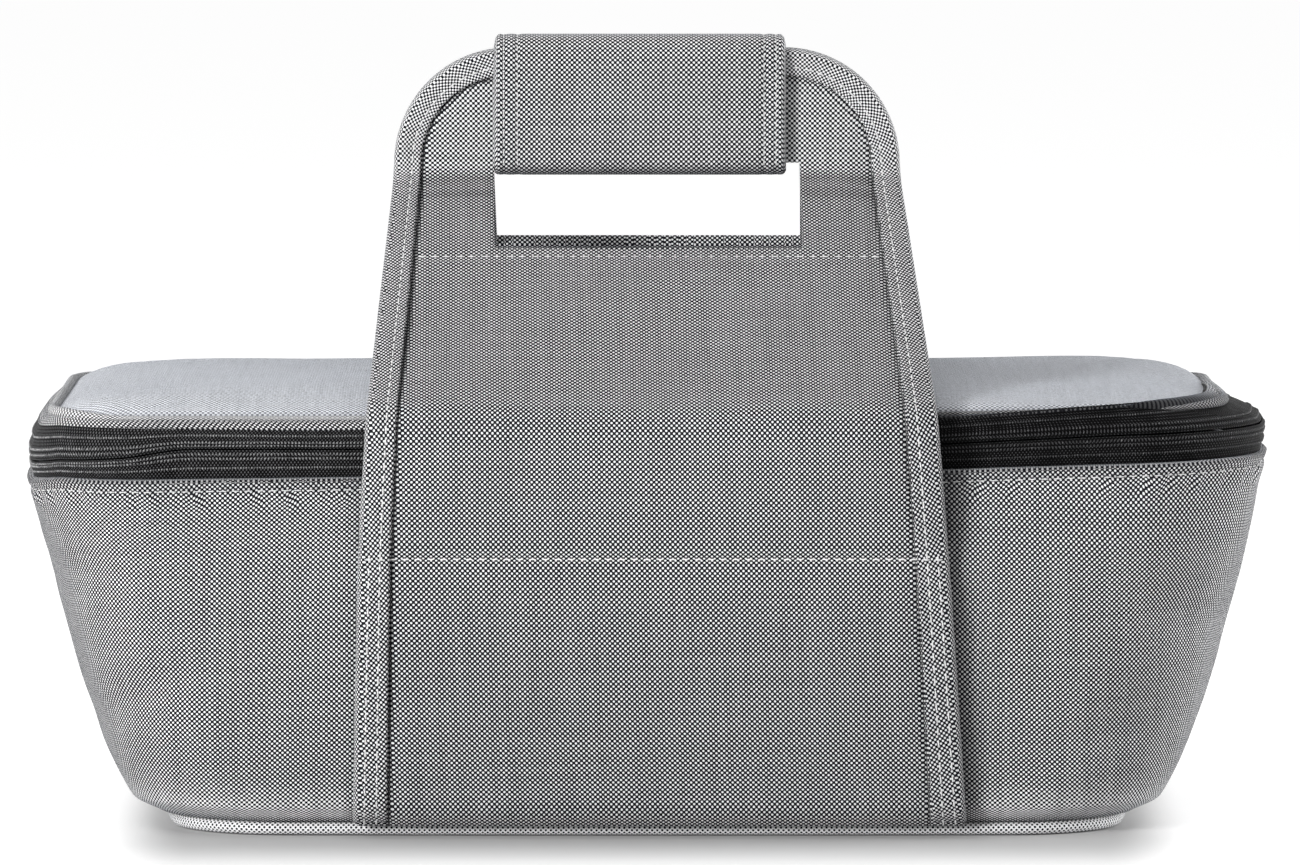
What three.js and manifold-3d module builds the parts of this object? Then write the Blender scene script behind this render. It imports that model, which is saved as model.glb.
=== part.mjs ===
// Insulated casserole carrier: a soft padded tub with a zipped, hinged lid, and two handle panels sewn to
// the front and rear walls whose top bars meet over the lid inside a padded grip wrap.
// Millimetres, +Z up, the front faces -Y, and the origin lies under the middle of the base.
import * as THREE from 'three';
import { mergeVertices } from 'three/addons/utils/BufferGeometryUtils.js';
import Module from 'manifold-3d';

const wasm = await Module();
wasm.setup();

// Fits between layers that touch
const FIT = 0.3;
const WALL_FIT = 0.5;

// Base
const BASE_HALF_LENGTH = 166;
const BASE_HALF_DEPTH = 110;
const BASE_FABRIC = 1.5;
const BASE_BOARD = 3;
const BASE_PIPING_RADIUS = 2.3;
const BASE_CORNER = 32;

// Tub wall: how far its foot hangs over the base piping, then half sizes where it has turned up, at its
// belly and at its rim
const FOOT_OVERHANG_ENDS = 3.1;
const FOOT_OVERHANG_FRONT = 0.3;
const TURN_HEIGHT = 11;
const TURN_HALF_LENGTH = 184.5;
const TURN_HALF_DEPTH = 120.5;
const BELLY_HEIGHT = 80;
const BELLY_HALF_LENGTH = 209;
const BELLY_HALF_DEPTH = 130.5;
const RIM_HEIGHT = 124.6;
const RIM_HALF_LENGTH = 219.5;
const RIM_HALF_DEPTH = 119;
const WALL_CORNER = 42;
const WALL_FABRIC = 1.2;
const FOAM = 6;
const LINING = 0.8;
const RIM_FACING = 1.2;

// How far a level of the wall leaves a rounded rectangle for a superellipse, from 0 to 1
const FOOT_SOFTNESS = 0.1;
const BELLY_SOFTNESS = 0.3;
const SOFT_POWER = 3.2;

// Share of the half length by which the ends draw in at the front and the rear
const END_BOW = 0.035;

// Zip band, set in from the rim
const ZIP_INSET_ENDS = 0.5;
const ZIP_INSET_FRONT = 5.5;
const TAPE_HEIGHT = 7.5;
const TAPE = 1;
const ZIP_SLOT = 1.4;
const COIL = 1.6;
const STOP_LENGTH = 4;
const STOP_WRAP = 1.1;

// Lid
const LID_BORDER_HEIGHT = 1.2;
const LID_PIPING_RADIUS = 1.8;
const LID_TAPER = 4.5;
const LID_CROWN = 10;
const LID_CROWN_POWER = 5;
const LID_FABRIC = 1.2;
const LID_FOAM = 5;

// Handle panels
const FABRIC = 1;
const PADDING = 1.6;
const BINDING = 1;
const BINDING_WIDTH = 11;
const ANCHOR_FOOT = 6.5;
const STITCH_HEIGHT = 98.5;
const PANEL_FOOT_HALF_WIDTH = 105.3;
const PANEL_STITCH_HALF_WIDTH = 101;
const PANEL_TOP_HALF_WIDTH = 88.9;
const ARCH_RADIUS = 40;
const BEND_CLEARANCE = 9.5;
const BEND_RISE = 1.3;
const BEND_ROUND = 8;
const HANDLE_RISE = 77.9;
const CREASE_ROUND = 8;
const CUTOUT_HALF_WIDTH = 54.5;
const CUTOUT_BELOW_CREASE = 21.4;
const CUTOUT_ABOVE_CREASE = 8.1;
const BAR_HEIGHT = 38.7;
const BAR_FIT = 0.2;

// Grip wrap
const GRIP_LENGTH = 104;
const GRIP_SHIFT = -2.5;
const GRIP_WALL = 5.6;
const GRIP_ROUND = 10;
const GRIP_TOP = 4.7;
const GRIP_LIP = 1.4;
const GRIP_STRIP = 0.7;
const GRIP_FIT = 0.2;
const LIP_REACH = 6;
const LOOP_REACH = 1;

// Zip sliders and pulls
const SLIDER_PARK = 14;
const SLIDER_LENGTH = 12;
const SLIDER_PLATE = 1.4;
const SLIDER_FRONT_HEIGHT = 9;
const SLIDER_BACK_HEIGHT = 6;
const SLIDER_NECK = 0.8;
const PIN_RADIUS = 0.8;
const PIN_LENGTH = 9;
const LUG = 1.4;
const EYE_WALL = 0.7;
const PULL_LENGTH = 20;
const PULL_HEIGHT = 6;
const PULL = 1.2;

// Facets
const CORNER_STEPS = 4;
const FRONT_STEPS = 6;
const END_STEPS = 4;
const CORD_SIDES = 6;
const PANEL_COLUMNS = 4;
const SEWN_COLUMNS = 8;
const ARCH_STEPS = 5;
const ROUND_STEPS = 3;
const FLAT_STEPS = 2;

// Sizes and levels that follow from the sizes above
const PIPING_REACH = FIT + 2 * BASE_PIPING_RADIUS;
const FOOT_HALF_LENGTH = BASE_HALF_LENGTH + PIPING_REACH + FOOT_OVERHANG_ENDS;
const FOOT_HALF_DEPTH = BASE_HALF_DEPTH + PIPING_REACH + FOOT_OVERHANG_FRONT;
const ZIP_HALF_LENGTH = RIM_HALF_LENGTH - ZIP_INSET_ENDS;
const ZIP_HALF_DEPTH = RIM_HALF_DEPTH - ZIP_INSET_FRONT;
const FLOOR_TOP = BASE_FABRIC + FIT + BASE_BOARD;
const FOOT_HEIGHT = PIPING_REACH + FIT;
const ZIP_BOTTOM = RIM_HEIGHT + FIT + RIM_FACING + FIT;
const ZIP_SLOT_BOTTOM = ZIP_BOTTOM + TAPE_HEIGHT;
const ZIP_SLOT_TOP = ZIP_SLOT_BOTTOM + ZIP_SLOT;
const ZIP_TOP = ZIP_SLOT_TOP + TAPE_HEIGHT;
const ZIP_MIDDLE = (ZIP_SLOT_BOTTOM + ZIP_SLOT_TOP) / 2;
const LID_BORDER_BOTTOM = ZIP_TOP + FIT;
const LID_BORDER_TOP = LID_BORDER_BOTTOM + LID_BORDER_HEIGHT;
const STACK = 2 * FABRIC + PADDING + 2 * FIT;
const HALF_STACK = STACK / 2;
const BOUND_HALF_STACK = HALF_STACK + FIT + BINDING;
const BAR_OUT = BOUND_HALF_STACK + BAR_FIT;
const BEND_HEIGHT = ZIP_TOP + BEND_RISE;
const BEND_OUT = ZIP_HALF_DEPTH + BEND_CLEARANCE;
const CREASE_HEIGHT = BEND_HEIGHT + HANDLE_RISE;
const CUTOUT_BOTTOM = CREASE_HEIGHT - CUTOUT_BELOW_CREASE;
const CUTOUT_TOP = CREASE_HEIGHT + CUTOUT_ABOVE_CREASE;
const PANEL_TOP = CUTOUT_TOP + BAR_HEIGHT;

// A closed body from points and triangles, turned so that its faces point out
function body(points, triangles) {
  let volume = 0;
  for (const [a, b, c] of triangles) {
    volume += points[a].dot(new THREE.Vector3().crossVectors(points[b], points[c]));
  }
  const index = triangles.flatMap(([a, b, c]) => (volume > 0 ? [a, b, c] : [a, c, b]));
  const geometry = new THREE.BufferGeometry();
  geometry.setAttribute('position', new THREE.Float32BufferAttribute(points.flatMap((p) => p.toArray()), 3));
  geometry.setIndex(index);
  return geometry;
}

// A skin over rings of equal count: closed into a loop, or capped by a fan at each end. Its facets split
// the same way going up and coming down, so that nested layers stay clear of each other.
function skin(rings, loop = false) {
  const count = rings[0].length;
  const points = rings.flat();
  const triangles = [];
  const strips = loop ? rings.length : rings.length - 1;
  for (let i = 0; i < strips; i += 1) {
    const low = i * count;
    const high = ((i + 1) % rings.length) * count;
    const rising = points[high].z >= points[low].z;
    for (let j = 0; j < count; j += 1) {
      const k = (j + 1) % count;
      if (rising) triangles.push([low + j, low + k, high + k], [low + j, high + k, high + j]);
      else triangles.push([low + j, low + k, high + j], [low + k, high + k, high + j]);
    }
  }
  if (!loop) {
    const last = (rings.length - 1) * count;
    const centre = (ring) => ring.reduce((sum, p) => sum.add(p), new THREE.Vector3()).divideScalar(count);
    points.push(centre(rings[0]), centre(rings[rings.length - 1]));
    for (let j = 0; j < count; j += 1) {
      const k = (j + 1) % count;
      triangles.push([points.length - 2, k, j], [points.length - 1, last + j, last + k]);
    }
  }
  return body(points, triangles);
}

// A sheet of cloth: a grid of stations by columns with a near and a far face, both split the same way
function sheet(stations, columns, place, near, far) {
  const rings = stations.map((station) => {
    const ring = [];
    for (let i = 0; i <= columns; i += 1) {
      ring.push(place(station, (2 * i) / columns - 1, far));
    }
    for (let i = columns; i >= 0; i -= 1) {
      ring.push(place(station, (2 * i) / columns - 1, near));
    }
    return ring;
  });
  const count = 2 * (columns + 1);
  const triangles = [];
  for (let s = 0; s < rings.length - 1; s += 1) {
    for (let j = 0; j < count; j += 1) {
      const k = (j + 1) % count;
      const low = s * count;
      const high = low + count;
      if (j <= columns) triangles.push([low + j, low + k, high + k], [low + j, high + k, high + j]);
      else triangles.push([low + j, low + k, high + j], [low + k, high + k, high + j]);
    }
  }
  const last = (rings.length - 1) * count;
  for (let i = 0; i < columns; i += 1) {
    const j = count - 1 - i;
    triangles.push([i + 1, i, j], [i + 1, j, j - 1]);
    triangles.push([last + i, last + i + 1, last + j], [last + i + 1, last + j - 1, last + j]);
  }
  return body(rings.flat(), triangles);
}

function solid(geometry) {
  const bare = geometry.clone();
  bare.deleteAttribute('normal');
  bare.deleteAttribute('uv');
  const merged = mergeVertices(bare, 1e-4);
  return new wasm.Manifold(new wasm.Mesh({
    numProp: 3,
    vertProperties: new Float32Array(merged.attributes.position.array),
    triVerts: new Uint32Array(merged.index.array),
  }));
}

function geometryOf(manifold) {
  const mesh = manifold.getMesh();
  const geometry = new THREE.BufferGeometry();
  geometry.setAttribute('position', new THREE.Float32BufferAttribute(mesh.vertProperties, 3));
  geometry.setIndex(Array.from(mesh.triVerts));
  return geometry;
}

function block(x0, x1, y0, y1, z0, z1) {
  const box = new THREE.BoxGeometry(x1 - x0, y1 - y0, z1 - z0);
  return box.translate((x0 + x1) / 2, (y0 + y1) / 2, (z0 + z1) / 2);
}

// A prism along X from points in the YZ plane
function prismAlongX(outline, x0, x1) {
  const shape = new THREE.Shape(outline.map(([y, z]) => new THREE.Vector2(y, z)));
  const prism = new THREE.ExtrudeGeometry(shape, { depth: x1 - x0, bevelEnabled: false });
  const turn = new THREE.Matrix4().makeBasis(
    new THREE.Vector3(0, 1, 0), new THREE.Vector3(0, 0, 1), new THREE.Vector3(1, 0, 0));
  return prism.applyMatrix4(turn).translate(x0, 0, 0);
}

function mirrored(geometry) {
  const position = geometry.attributes.position;
  const points = [];
  for (let i = 0; i < position.count; i += 1) {
    points.push(new THREE.Vector3(position.getX(i), -position.getY(i), position.getZ(i)));
  }
  const triangles = [];
  for (let i = 0; i < geometry.index.count; i += 3) {
    triangles.push([0, 1, 2].map((corner) => geometry.index.getX(i + corner)));
  }
  return body(points, triangles);
}

// A smooth curve through [height, value] knots that never swings past them
function through(knots, height) {
  const slopes = knots.slice(1).map((knot, i) => (knot[1] - knots[i][1]) / (knot[0] - knots[i][0]));
  const tangent = (i) => {
    if (i === 0) return slopes[0];
    if (i === slopes.length) return slopes[i - 1];
    const product = slopes[i - 1] * slopes[i];
    return product > 0 ? (2 * product) / (slopes[i - 1] + slopes[i]) : 0;
  };
  let i = 0;
  while (i < slopes.length - 1 && height > knots[i + 1][0]) i += 1;
  const step = knots[i + 1][0] - knots[i][0];
  const t = (height - knots[i][0]) / step;
  const rise = knots[i + 1][1] - knots[i][1];
  const start = tangent(i) * step;
  const end = tangent(i + 1) * step;
  return knots[i][1] + start * t + (3 * rise - 2 * start - end) * t ** 2 + (start + end - 2 * rise) * t ** 3;
}

// The plan of the carrier: a rounded rectangle that starts at the rear left corner, runs round the front
// and ends at the rear right corner. The rear run closes it when it is asked for.
function plan(halfLength, halfDepth, corner, rearRun = true) {
  const points = [];
  const arc = (x, y, from) => {
    for (let i = 0; i <= CORNER_STEPS; i += 1) {
      const angle = from + (Math.PI / 2) * (i / CORNER_STEPS);
      points.push(new THREE.Vector2(x + corner * Math.cos(angle), y + corner * Math.sin(angle)));
    }
  };
  const run = (from, to, steps) => {
    for (let i = 1; i < steps; i += 1) points.push(from.clone().lerp(to, i / steps));
  };
  const x = halfLength - corner;
  const y = halfDepth - corner;
  arc(-x, y, Math.PI / 2);
  run(new THREE.Vector2(-halfLength, y), new THREE.Vector2(-halfLength, -y), END_STEPS);
  arc(-x, -y, Math.PI);
  run(new THREE.Vector2(-x, -halfDepth), new THREE.Vector2(x, -halfDepth), FRONT_STEPS);
  arc(x, -y, 1.5 * Math.PI);
  run(new THREE.Vector2(halfLength, -y), new THREE.Vector2(halfLength, y), END_STEPS);
  arc(x, y, 0);
  if (rearRun) run(new THREE.Vector2(x, halfDepth), new THREE.Vector2(-x, halfDepth), FRONT_STEPS);
  return points;
}

// Share of a point's distance from the middle that is left when the plan softens to a superellipse
function softening(x, y, halfLength, halfDepth, softness) {
  const reach = (Math.abs(x / halfLength) ** SOFT_POWER + Math.abs(y / halfDepth) ** SOFT_POWER);
  return 1 - softness + softness * reach ** (-1 / SOFT_POWER);
}

function bowedPlan(halfLength, halfDepth, corner, rearRun = true) {
  return plan(halfLength, halfDepth, corner, rearRun).map((p) => (
    p.setX(p.x * (1 - END_BOW * (p.y / halfDepth) ** 2))));
}

function softPlan(halfLength, halfDepth, corner, softness) {
  return bowedPlan(halfLength, halfDepth, corner).map((p) => (
    p.multiplyScalar(softening(p.x, p.y, halfLength, halfDepth, softness))));
}

const at = (ring, z) => ring.map((p) => new THREE.Vector3(p.x, p.y, z));

const wallHalfLength = (z) => through([
  [FOOT_HEIGHT, FOOT_HALF_LENGTH], [TURN_HEIGHT, TURN_HALF_LENGTH],
  [BELLY_HEIGHT, BELLY_HALF_LENGTH], [RIM_HEIGHT, RIM_HALF_LENGTH]], z);
const wallHalfDepth = (z) => through([
  [FOOT_HEIGHT, FOOT_HALF_DEPTH], [TURN_HEIGHT, TURN_HALF_DEPTH],
  [BELLY_HEIGHT, BELLY_HALF_DEPTH], [RIM_HEIGHT, RIM_HALF_DEPTH]], z);
const wallSoftness = (z) => through([
  [FOOT_HEIGHT, FOOT_SOFTNESS], [BELLY_HEIGHT, BELLY_SOFTNESS], [RIM_HEIGHT, 0]], z);

// Shared heights of the wall's facets, closer together where it turns up from the base
const turnLevels = [FOOT_HEIGHT, (FOOT_HEIGHT + TURN_HEIGHT) / 2, TURN_HEIGHT];
const upperLevels = [0.18, 0.38, 0.58, 0.8, 1].map((t) => (
  TURN_HEIGHT + (RIM_HEIGHT - TURN_HEIGHT) * t));
const WALL_LEVELS = [...turnLevels, ...upperLevels];

function levelRing(z, inset) {
  const flat = softPlan(
    wallHalfLength(z) - inset, wallHalfDepth(z) - inset, WALL_CORNER - inset, wallSoftness(z));
  return at(flat, z);
}

// A ring of the wall at any height, on the straight facets between the shared heights
function wallRing(z, inset) {
  const above = Math.max(1, WALL_LEVELS.findIndex((level) => level >= z));
  const low = WALL_LEVELS[above - 1];
  const high = WALL_LEVELS[above];
  const lowRing = levelRing(low, inset);
  const highRing = levelRing(high, inset);
  return lowRing.map((p, i) => p.lerp(highRing[i], (z - low) / (high - low)));
}

const wallLevels = (bottom) => [bottom, ...WALL_LEVELS.filter((z) => z > bottom)];

// How far the front wall stands from the middle at a given x
function wallFront(x, z) {
  const halfLength = wallHalfLength(z);
  const halfDepth = wallHalfDepth(z);
  const softness = wallSoftness(z);
  let flatX = x;
  for (let i = 0; i < 6; i += 1) flatX = x / softening(flatX, halfDepth, halfLength, halfDepth, softness);
  return halfDepth * softening(flatX, halfDepth, halfLength, halfDepth, softness);
}

// A strip that stands between two plans and two heights
function band(outer, inner, bottom, top, loop) {
  return skin(outer.map((p, i) => [
    new THREE.Vector3(p.x, p.y, bottom),
    new THREE.Vector3(p.x, p.y, top),
    new THREE.Vector3(inner[i].x, inner[i].y, top),
    new THREE.Vector3(inner[i].x, inner[i].y, bottom),
  ]), loop);
}

// A round cord that follows a closed plan
function cordRing(flat, radius, z) {
  return skin(flat.map((p, i) => {
    const before = flat[(i + flat.length - 1) % flat.length];
    const after = flat[(i + 1) % flat.length];
    const out = new THREE.Vector2(after.y - before.y, before.x - after.x).normalize();
    const ring = [];
    for (let k = 0; k < CORD_SIDES; k += 1) {
      const angle = (2 * Math.PI * (k + 0.5)) / CORD_SIDES;
      const reach = radius * Math.cos(angle);
      ring.push(new THREE.Vector3(p.x + out.x * reach, p.y + out.y * reach, z + radius * Math.sin(angle)));
    }
    return ring;
  }), true);
}

// A tub: the wall and floor between an outer and an inner inset
function tubLayer(bottom, outerInset, thickness) {
  const outer = wallLevels(bottom).map((z) => wallRing(z, outerInset));
  const inner = wallLevels(bottom + thickness).map((z) => wallRing(z, outerInset + thickness));
  return skin([...outer, ...inner.reverse()]);
}

const foamInset = WALL_FABRIC + FIT;
const liningInset = foamInset + FOAM + FIT;
const rimInset = liningInset + LINING;
const foamBottom = FLOOR_TOP + FIT;

function tubShell() {
  const levels = wallLevels(FOOT_HEIGHT);
  const outer = levels.map((z) => wallRing(z, 0));
  const inner = levels.map((z) => wallRing(z, WALL_FABRIC));
  return skin([...outer, ...inner.reverse()], true);
}

function basePlate(inset, bottom, thickness) {
  const flat = softPlan(
    BASE_HALF_LENGTH - inset, BASE_HALF_DEPTH - inset, BASE_CORNER - inset, FOOT_SOFTNESS);
  return skin([at(flat, bottom), at(flat, bottom + thickness)]);
}

function basePiping() {
  const reach = FIT + BASE_PIPING_RADIUS;
  const flat = softPlan(
    BASE_HALF_LENGTH + reach, BASE_HALF_DEPTH + reach, BASE_CORNER + reach, FOOT_SOFTNESS);
  return cordRing(flat, BASE_PIPING_RADIUS, FIT + BASE_PIPING_RADIUS);
}

function rimFacing() {
  const rim = (inset) => (
    bowedPlan(RIM_HALF_LENGTH - inset, RIM_HALF_DEPTH - inset, WALL_CORNER - inset));
  return band(rim(0), rim(rimInset), RIM_HEIGHT + FIT, RIM_HEIGHT + FIT + RIM_FACING, true);
}

// Zip strips run round the front and the ends, and stop at the rear corners
const zipPlan = (inset, rearRun) => (
  bowedPlan(ZIP_HALF_LENGTH - inset, ZIP_HALF_DEPTH - inset, WALL_CORNER - inset, rearRun));
const zipEnd = (ZIP_HALF_LENGTH - WALL_CORNER) * (1 - END_BOW);
const coilOuter = TAPE + FIT;
const coilInner = coilOuter + COIL;

const zipTape = (bottom) => (
  band(zipPlan(0, false), zipPlan(TAPE, false), bottom, bottom + TAPE_HEIGHT, false));
const zipCoil = (bottom) => (
  band(zipPlan(coilOuter, false), zipPlan(coilInner, false), bottom, bottom + COIL, false));

function hingeStrip() {
  const reach = zipEnd - FIT - STOP_LENGTH - FIT;
  return block(-reach, reach, ZIP_HALF_DEPTH - TAPE, ZIP_HALF_DEPTH, ZIP_BOTTOM, ZIP_TOP);
}

function zipStop(side) {
  const near = side * (zipEnd - FIT);
  const far = near - side * STOP_LENGTH;
  const reach = COIL + STOP_WRAP;
  return block(Math.min(near, far), Math.max(near, far), ZIP_HALF_DEPTH - TAPE, ZIP_HALF_DEPTH + STOP_WRAP,
    ZIP_SLOT_BOTTOM - reach, ZIP_SLOT_TOP + reach);
}

// Lid: a low border on the zip, a piped edge and a crowned top of fabric, foam and lining
const lidPlan = (inset) => zipPlan(inset, true);
const lidPipingHeight = LID_BORDER_TOP + FIT + LID_PIPING_RADIUS;
const lidEdge = LID_TAPER + LID_PIPING_RADIUS + FIT;
const lidEdgeHeight = lidPipingHeight + FIT;
const crownSteps = [0, 0.14, 0.36, 0.7];

function lidRing(step, depth) {
  const inset = lidEdge + step * (ZIP_HALF_DEPTH - lidEdge);
  const height = lidEdgeHeight + LID_CROWN * (1 - (1 - step) ** LID_CROWN_POWER) - depth;
  const corner = Math.max(WALL_CORNER - inset, WALL_CORNER / 4);
  return at(bowedPlan(ZIP_HALF_LENGTH - inset, ZIP_HALF_DEPTH - inset, corner), height);
}

function lidLayer(depth, thickness) {
  const top = crownSteps.map((step) => lidRing(step, depth));
  const bottom = crownSteps.map((step) => lidRing(step, depth + thickness));
  return skin([...top.reverse(), ...bottom]);
}

// Side profile of a handle panel's free part, as distance from the middle plane and height
const wallFit = WALL_FIT + HALF_STACK;
const stitchOut = wallFront(0, STITCH_HEIGHT) + wallFit;
const lean = new THREE.Vector2(BAR_OUT - BEND_OUT, CREASE_HEIGHT - BEND_HEIGHT).normalize();
const rise = new THREE.Vector2(BEND_OUT - stitchOut, BEND_HEIGHT - STITCH_HEIGHT).normalize();
const bend = new THREE.Vector2(BEND_OUT, BEND_HEIGHT);
const crease = new THREE.Vector2(BAR_OUT, CREASE_HEIGHT);
const bendStart = bend.clone().addScaledVector(rise, -BEND_ROUND);
const bendEnd = bend.clone().addScaledVector(lean, BEND_ROUND);
const creaseStart = crease.clone().addScaledVector(lean, -CREASE_ROUND);
const profile = new THREE.Path();
profile.moveTo(stitchOut, STITCH_HEIGHT + FIT);
profile.quadraticCurveTo(
  Math.max(stitchOut, BEND_OUT), (STITCH_HEIGHT + bendStart.y) / 2, bendStart.x, bendStart.y);
profile.quadraticCurveTo(bend.x, bend.y, bendEnd.x, bendEnd.y);
profile.lineTo(creaseStart.x, creaseStart.y);
profile.quadraticCurveTo(crease.x, crease.y, BAR_OUT, CREASE_HEIGHT + CREASE_ROUND);
profile.lineTo(BAR_OUT, PANEL_TOP);
const profileLength = profile.getLength();
const archStart = profileLength - ARCH_RADIUS;

// A point of the profile and the way it faces, also a little past its ends
function profileAt(s) {
  const t = THREE.MathUtils.clamp(s / profileLength, 0, 1);
  const point = profile.getPoint(t);
  const along = profile.getTangent(t);
  point.addScaledVector(along, s - t * profileLength);
  return { point, facing: new THREE.Vector2(along.y, -along.x) };
}

// Stations along a free panel whose outline is moved out by a margin, with their half widths
function panelStations(margin, tail) {
  const lengths = profile.getCurveLengths();
  const stations = tail > 0 ? [-tail] : [];
  lengths.forEach((end, i) => {
    const start = i === 0 ? 0 : lengths[i - 1];
    const stop = Math.min(end, archStart);
    const steps = profile.curves[i].isLineCurve ? FLAT_STEPS : ROUND_STEPS;
    for (let k = 0; k < steps && stop > start; k += 1) {
      stations.push(start + (stop - start) * (k / steps));
    }
  });
  const sides = stations.map((s) => ({
    s,
    half: margin + THREE.MathUtils.mapLinear(s, 0, archStart, PANEL_STITCH_HALF_WIDTH, PANEL_TOP_HALF_WIDTH),
  }));
  const arch = Array.from({ length: ARCH_STEPS + 1 }, (_, i) => {
    const angle = (Math.PI / 2) * (i / ARCH_STEPS);
    return {
      s: archStart + (ARCH_RADIUS + margin) * Math.sin(angle),
      half: PANEL_TOP_HALF_WIDTH - ARCH_RADIUS + (ARCH_RADIUS + margin) * Math.cos(angle),
    };
  });
  return [...sides, ...arch];
}

// The free panel follows the curved wall at its stitch line and flattens towards the crease
function placeFree({ s, half }, u, depth) {
  const { point, facing } = profileAt(s);
  const x = u * half;
  const hold = THREE.MathUtils.clamp(1 - s / (archStart - CREASE_ROUND), 0, 1) ** 2;
  const bow = (wallFront(x, STITCH_HEIGHT) - wallFront(0, STITCH_HEIGHT)) * hold;
  return new THREE.Vector3(x, -(point.x + bow + facing.x * depth), point.y + facing.y * depth);
}

const freeSheet = (margin, tail, near, far) => (
  sheet(panelStations(margin, tail), PANEL_COLUMNS, placeFree, near, far));
const THROUGH = 4 * STACK;

function cutout() {
  const reach = BEND_OUT;
  return solid(block(-CUTOUT_HALF_WIDTH, CUTOUT_HALF_WIDTH, -reach, 0, CUTOUT_BOTTOM, CUTOUT_TOP));
}

const panelLayer = (near, far) => geometryOf(solid(freeSheet(0, 0, near, far)).subtract(cutout()));

function panelBinding() {
  const whole = solid(freeSheet(FIT + BINDING, 0, -BOUND_HALF_STACK, BOUND_HALF_STACK));
  const middle = solid(freeSheet(-BINDING_WIDTH, THROUGH, -THROUGH, THROUGH));
  const cloth = solid(freeSheet(FIT, THROUGH, -HALF_STACK - FIT, HALF_STACK + FIT));
  const wall = solid(skin(WALL_LEVELS.map((z) => levelRing(z, -WALL_FIT))));
  return geometryOf(whole.subtract(middle).subtract(cloth).subtract(wall));
}

// The part of a handle panel that is sewn flat on the wall below the stitch line
function placeSewn({ z, margin }, u, depth) {
  const half = THREE.MathUtils.mapLinear(
    z, ANCHOR_FOOT, STITCH_HEIGHT, PANEL_FOOT_HALF_WIDTH, PANEL_STITCH_HALF_WIDTH);
  const x = u * (half + margin);
  return new THREE.Vector3(x, -(wallFront(x, z) + WALL_FIT + depth), z);
}

function sewnSheet(margin, tail, near, far) {
  const inside = wallLevels(ANCHOR_FOOT).filter((z) => z > ANCHOR_FOOT && z < STITCH_HEIGHT);
  const heights = [ANCHOR_FOOT - tail, ...inside, STITCH_HEIGHT + tail];
  return sheet(heights.map((z) => ({ z, margin })), SEWN_COLUMNS, placeSewn, near, far);
}

const sewnPadding = STACK - FABRIC - FIT;

function sewnBinding(side) {
  const tail = FIT;
  const whole = solid(sewnSheet(FIT + BINDING, 0, 0, STACK + FIT + BINDING));
  const middle = solid(sewnSheet(-BINDING_WIDTH, tail, -FIT, THROUGH));
  const cloth = solid(sewnSheet(FIT, tail, -FIT, STACK + FIT));
  const reach = 2 * PANEL_FOOT_HALF_WIDTH;
  const half = block(Math.min(0, side * reach), Math.max(0, side * reach), -reach, 0, 0, RIM_HEIGHT);
  return geometryOf(whole.subtract(middle).subtract(cloth).intersect(solid(half)));
}

// Grip wrap round both bars: a padded front half, and a rear flap whose lip closes under it
const gripInside = BAR_OUT + BOUND_HALF_STACK + FIT;
const gripOutside = gripInside + GRIP_WALL;
const padLipTop = CUTOUT_TOP - FIT;
const padLipBottom = padLipTop - GRIP_LIP;
const loopBottom = padLipBottom - GRIP_FIT - GRIP_STRIP;
const hookBottom = loopBottom - GRIP_FIT - GRIP_STRIP;
const flapLipTop = hookBottom - GRIP_FIT;
const gripBottom = flapLipTop - GRIP_LIP;
const gripHollowTop = PANEL_TOP + FIT + BINDING + FIT;
const gripTop = gripHollowTop + GRIP_TOP;
const gripStart = GRIP_SHIFT - GRIP_LENGTH / 2;
const gripEnd = GRIP_SHIFT + GRIP_LENGTH / 2;

function gripTube() {
  const shape = new THREE.Shape();
  const straight = gripOutside - GRIP_ROUND;
  shape.absarc(straight, gripBottom + GRIP_ROUND, GRIP_ROUND, -Math.PI / 2, 0);
  shape.absarc(straight, gripTop - GRIP_ROUND, GRIP_ROUND, 0, Math.PI / 2);
  shape.absarc(-straight, gripTop - GRIP_ROUND, GRIP_ROUND, Math.PI / 2, Math.PI);
  shape.absarc(-straight, gripBottom + GRIP_ROUND, GRIP_ROUND, Math.PI, 1.5 * Math.PI);
  const outline = shape.getPoints(2 * ROUND_STEPS).slice(0, -1).map((p) => p.toArray());
  const outer = solid(prismAlongX(outline, gripStart, gripEnd));
  const past = GRIP_LENGTH;
  const hollow = solid(block(-past, past, -gripInside, gripInside, padLipTop, gripHollowTop));
  return outer.subtract(hollow);
}

function gripHalf(lipFace, lipStart, lipEnd, side) {
  const split = (side * FIT) / 2;
  const far = side * 2 * gripOutside;
  const under = gripBottom - GRIP_ROUND;
  const over = gripTop + GRIP_ROUND;
  const step = CUTOUT_TOP + GRIP_LIP;
  const mask = [[far, under], [lipStart, under], [lipStart, lipFace], [lipEnd, lipFace], [lipEnd, step],
    [split, step], [split, over], [far, over]];
  const outline = side > 0 ? mask : mask.reverse();
  const past = GRIP_LENGTH;
  return geometryOf(gripTube().intersect(solid(prismAlongX(outline, -past, past))));
}

const lipFront = -gripInside;
const gripPad = () => gripHalf(padLipBottom, lipFront, LIP_REACH, -1);
const gripFlap = () => gripHalf(flapLipTop, lipFront + FIT, LIP_REACH + FIT, 1);

const gripStrip = (bottom, reach) => block(
  gripStart + GRIP_STRIP, gripEnd - GRIP_STRIP, lipFront + 2 * FIT, reach, bottom, bottom + GRIP_STRIP);

// Slider: plates before and behind the tapes, joined by a neck in the slot, with a pinned pull
const plateBack = -(ZIP_HALF_DEPTH + WALL_FIT);
const plateFront = plateBack - SLIDER_PLATE;
const backFront = -(ZIP_HALF_DEPTH - coilInner - WALL_FIT);
const backBack = backFront + SLIDER_PLATE;
const eyeRadius = PIN_RADIUS + FIT + EYE_WALL;
const pinOut = plateFront - FIT - eyeRadius;

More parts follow.
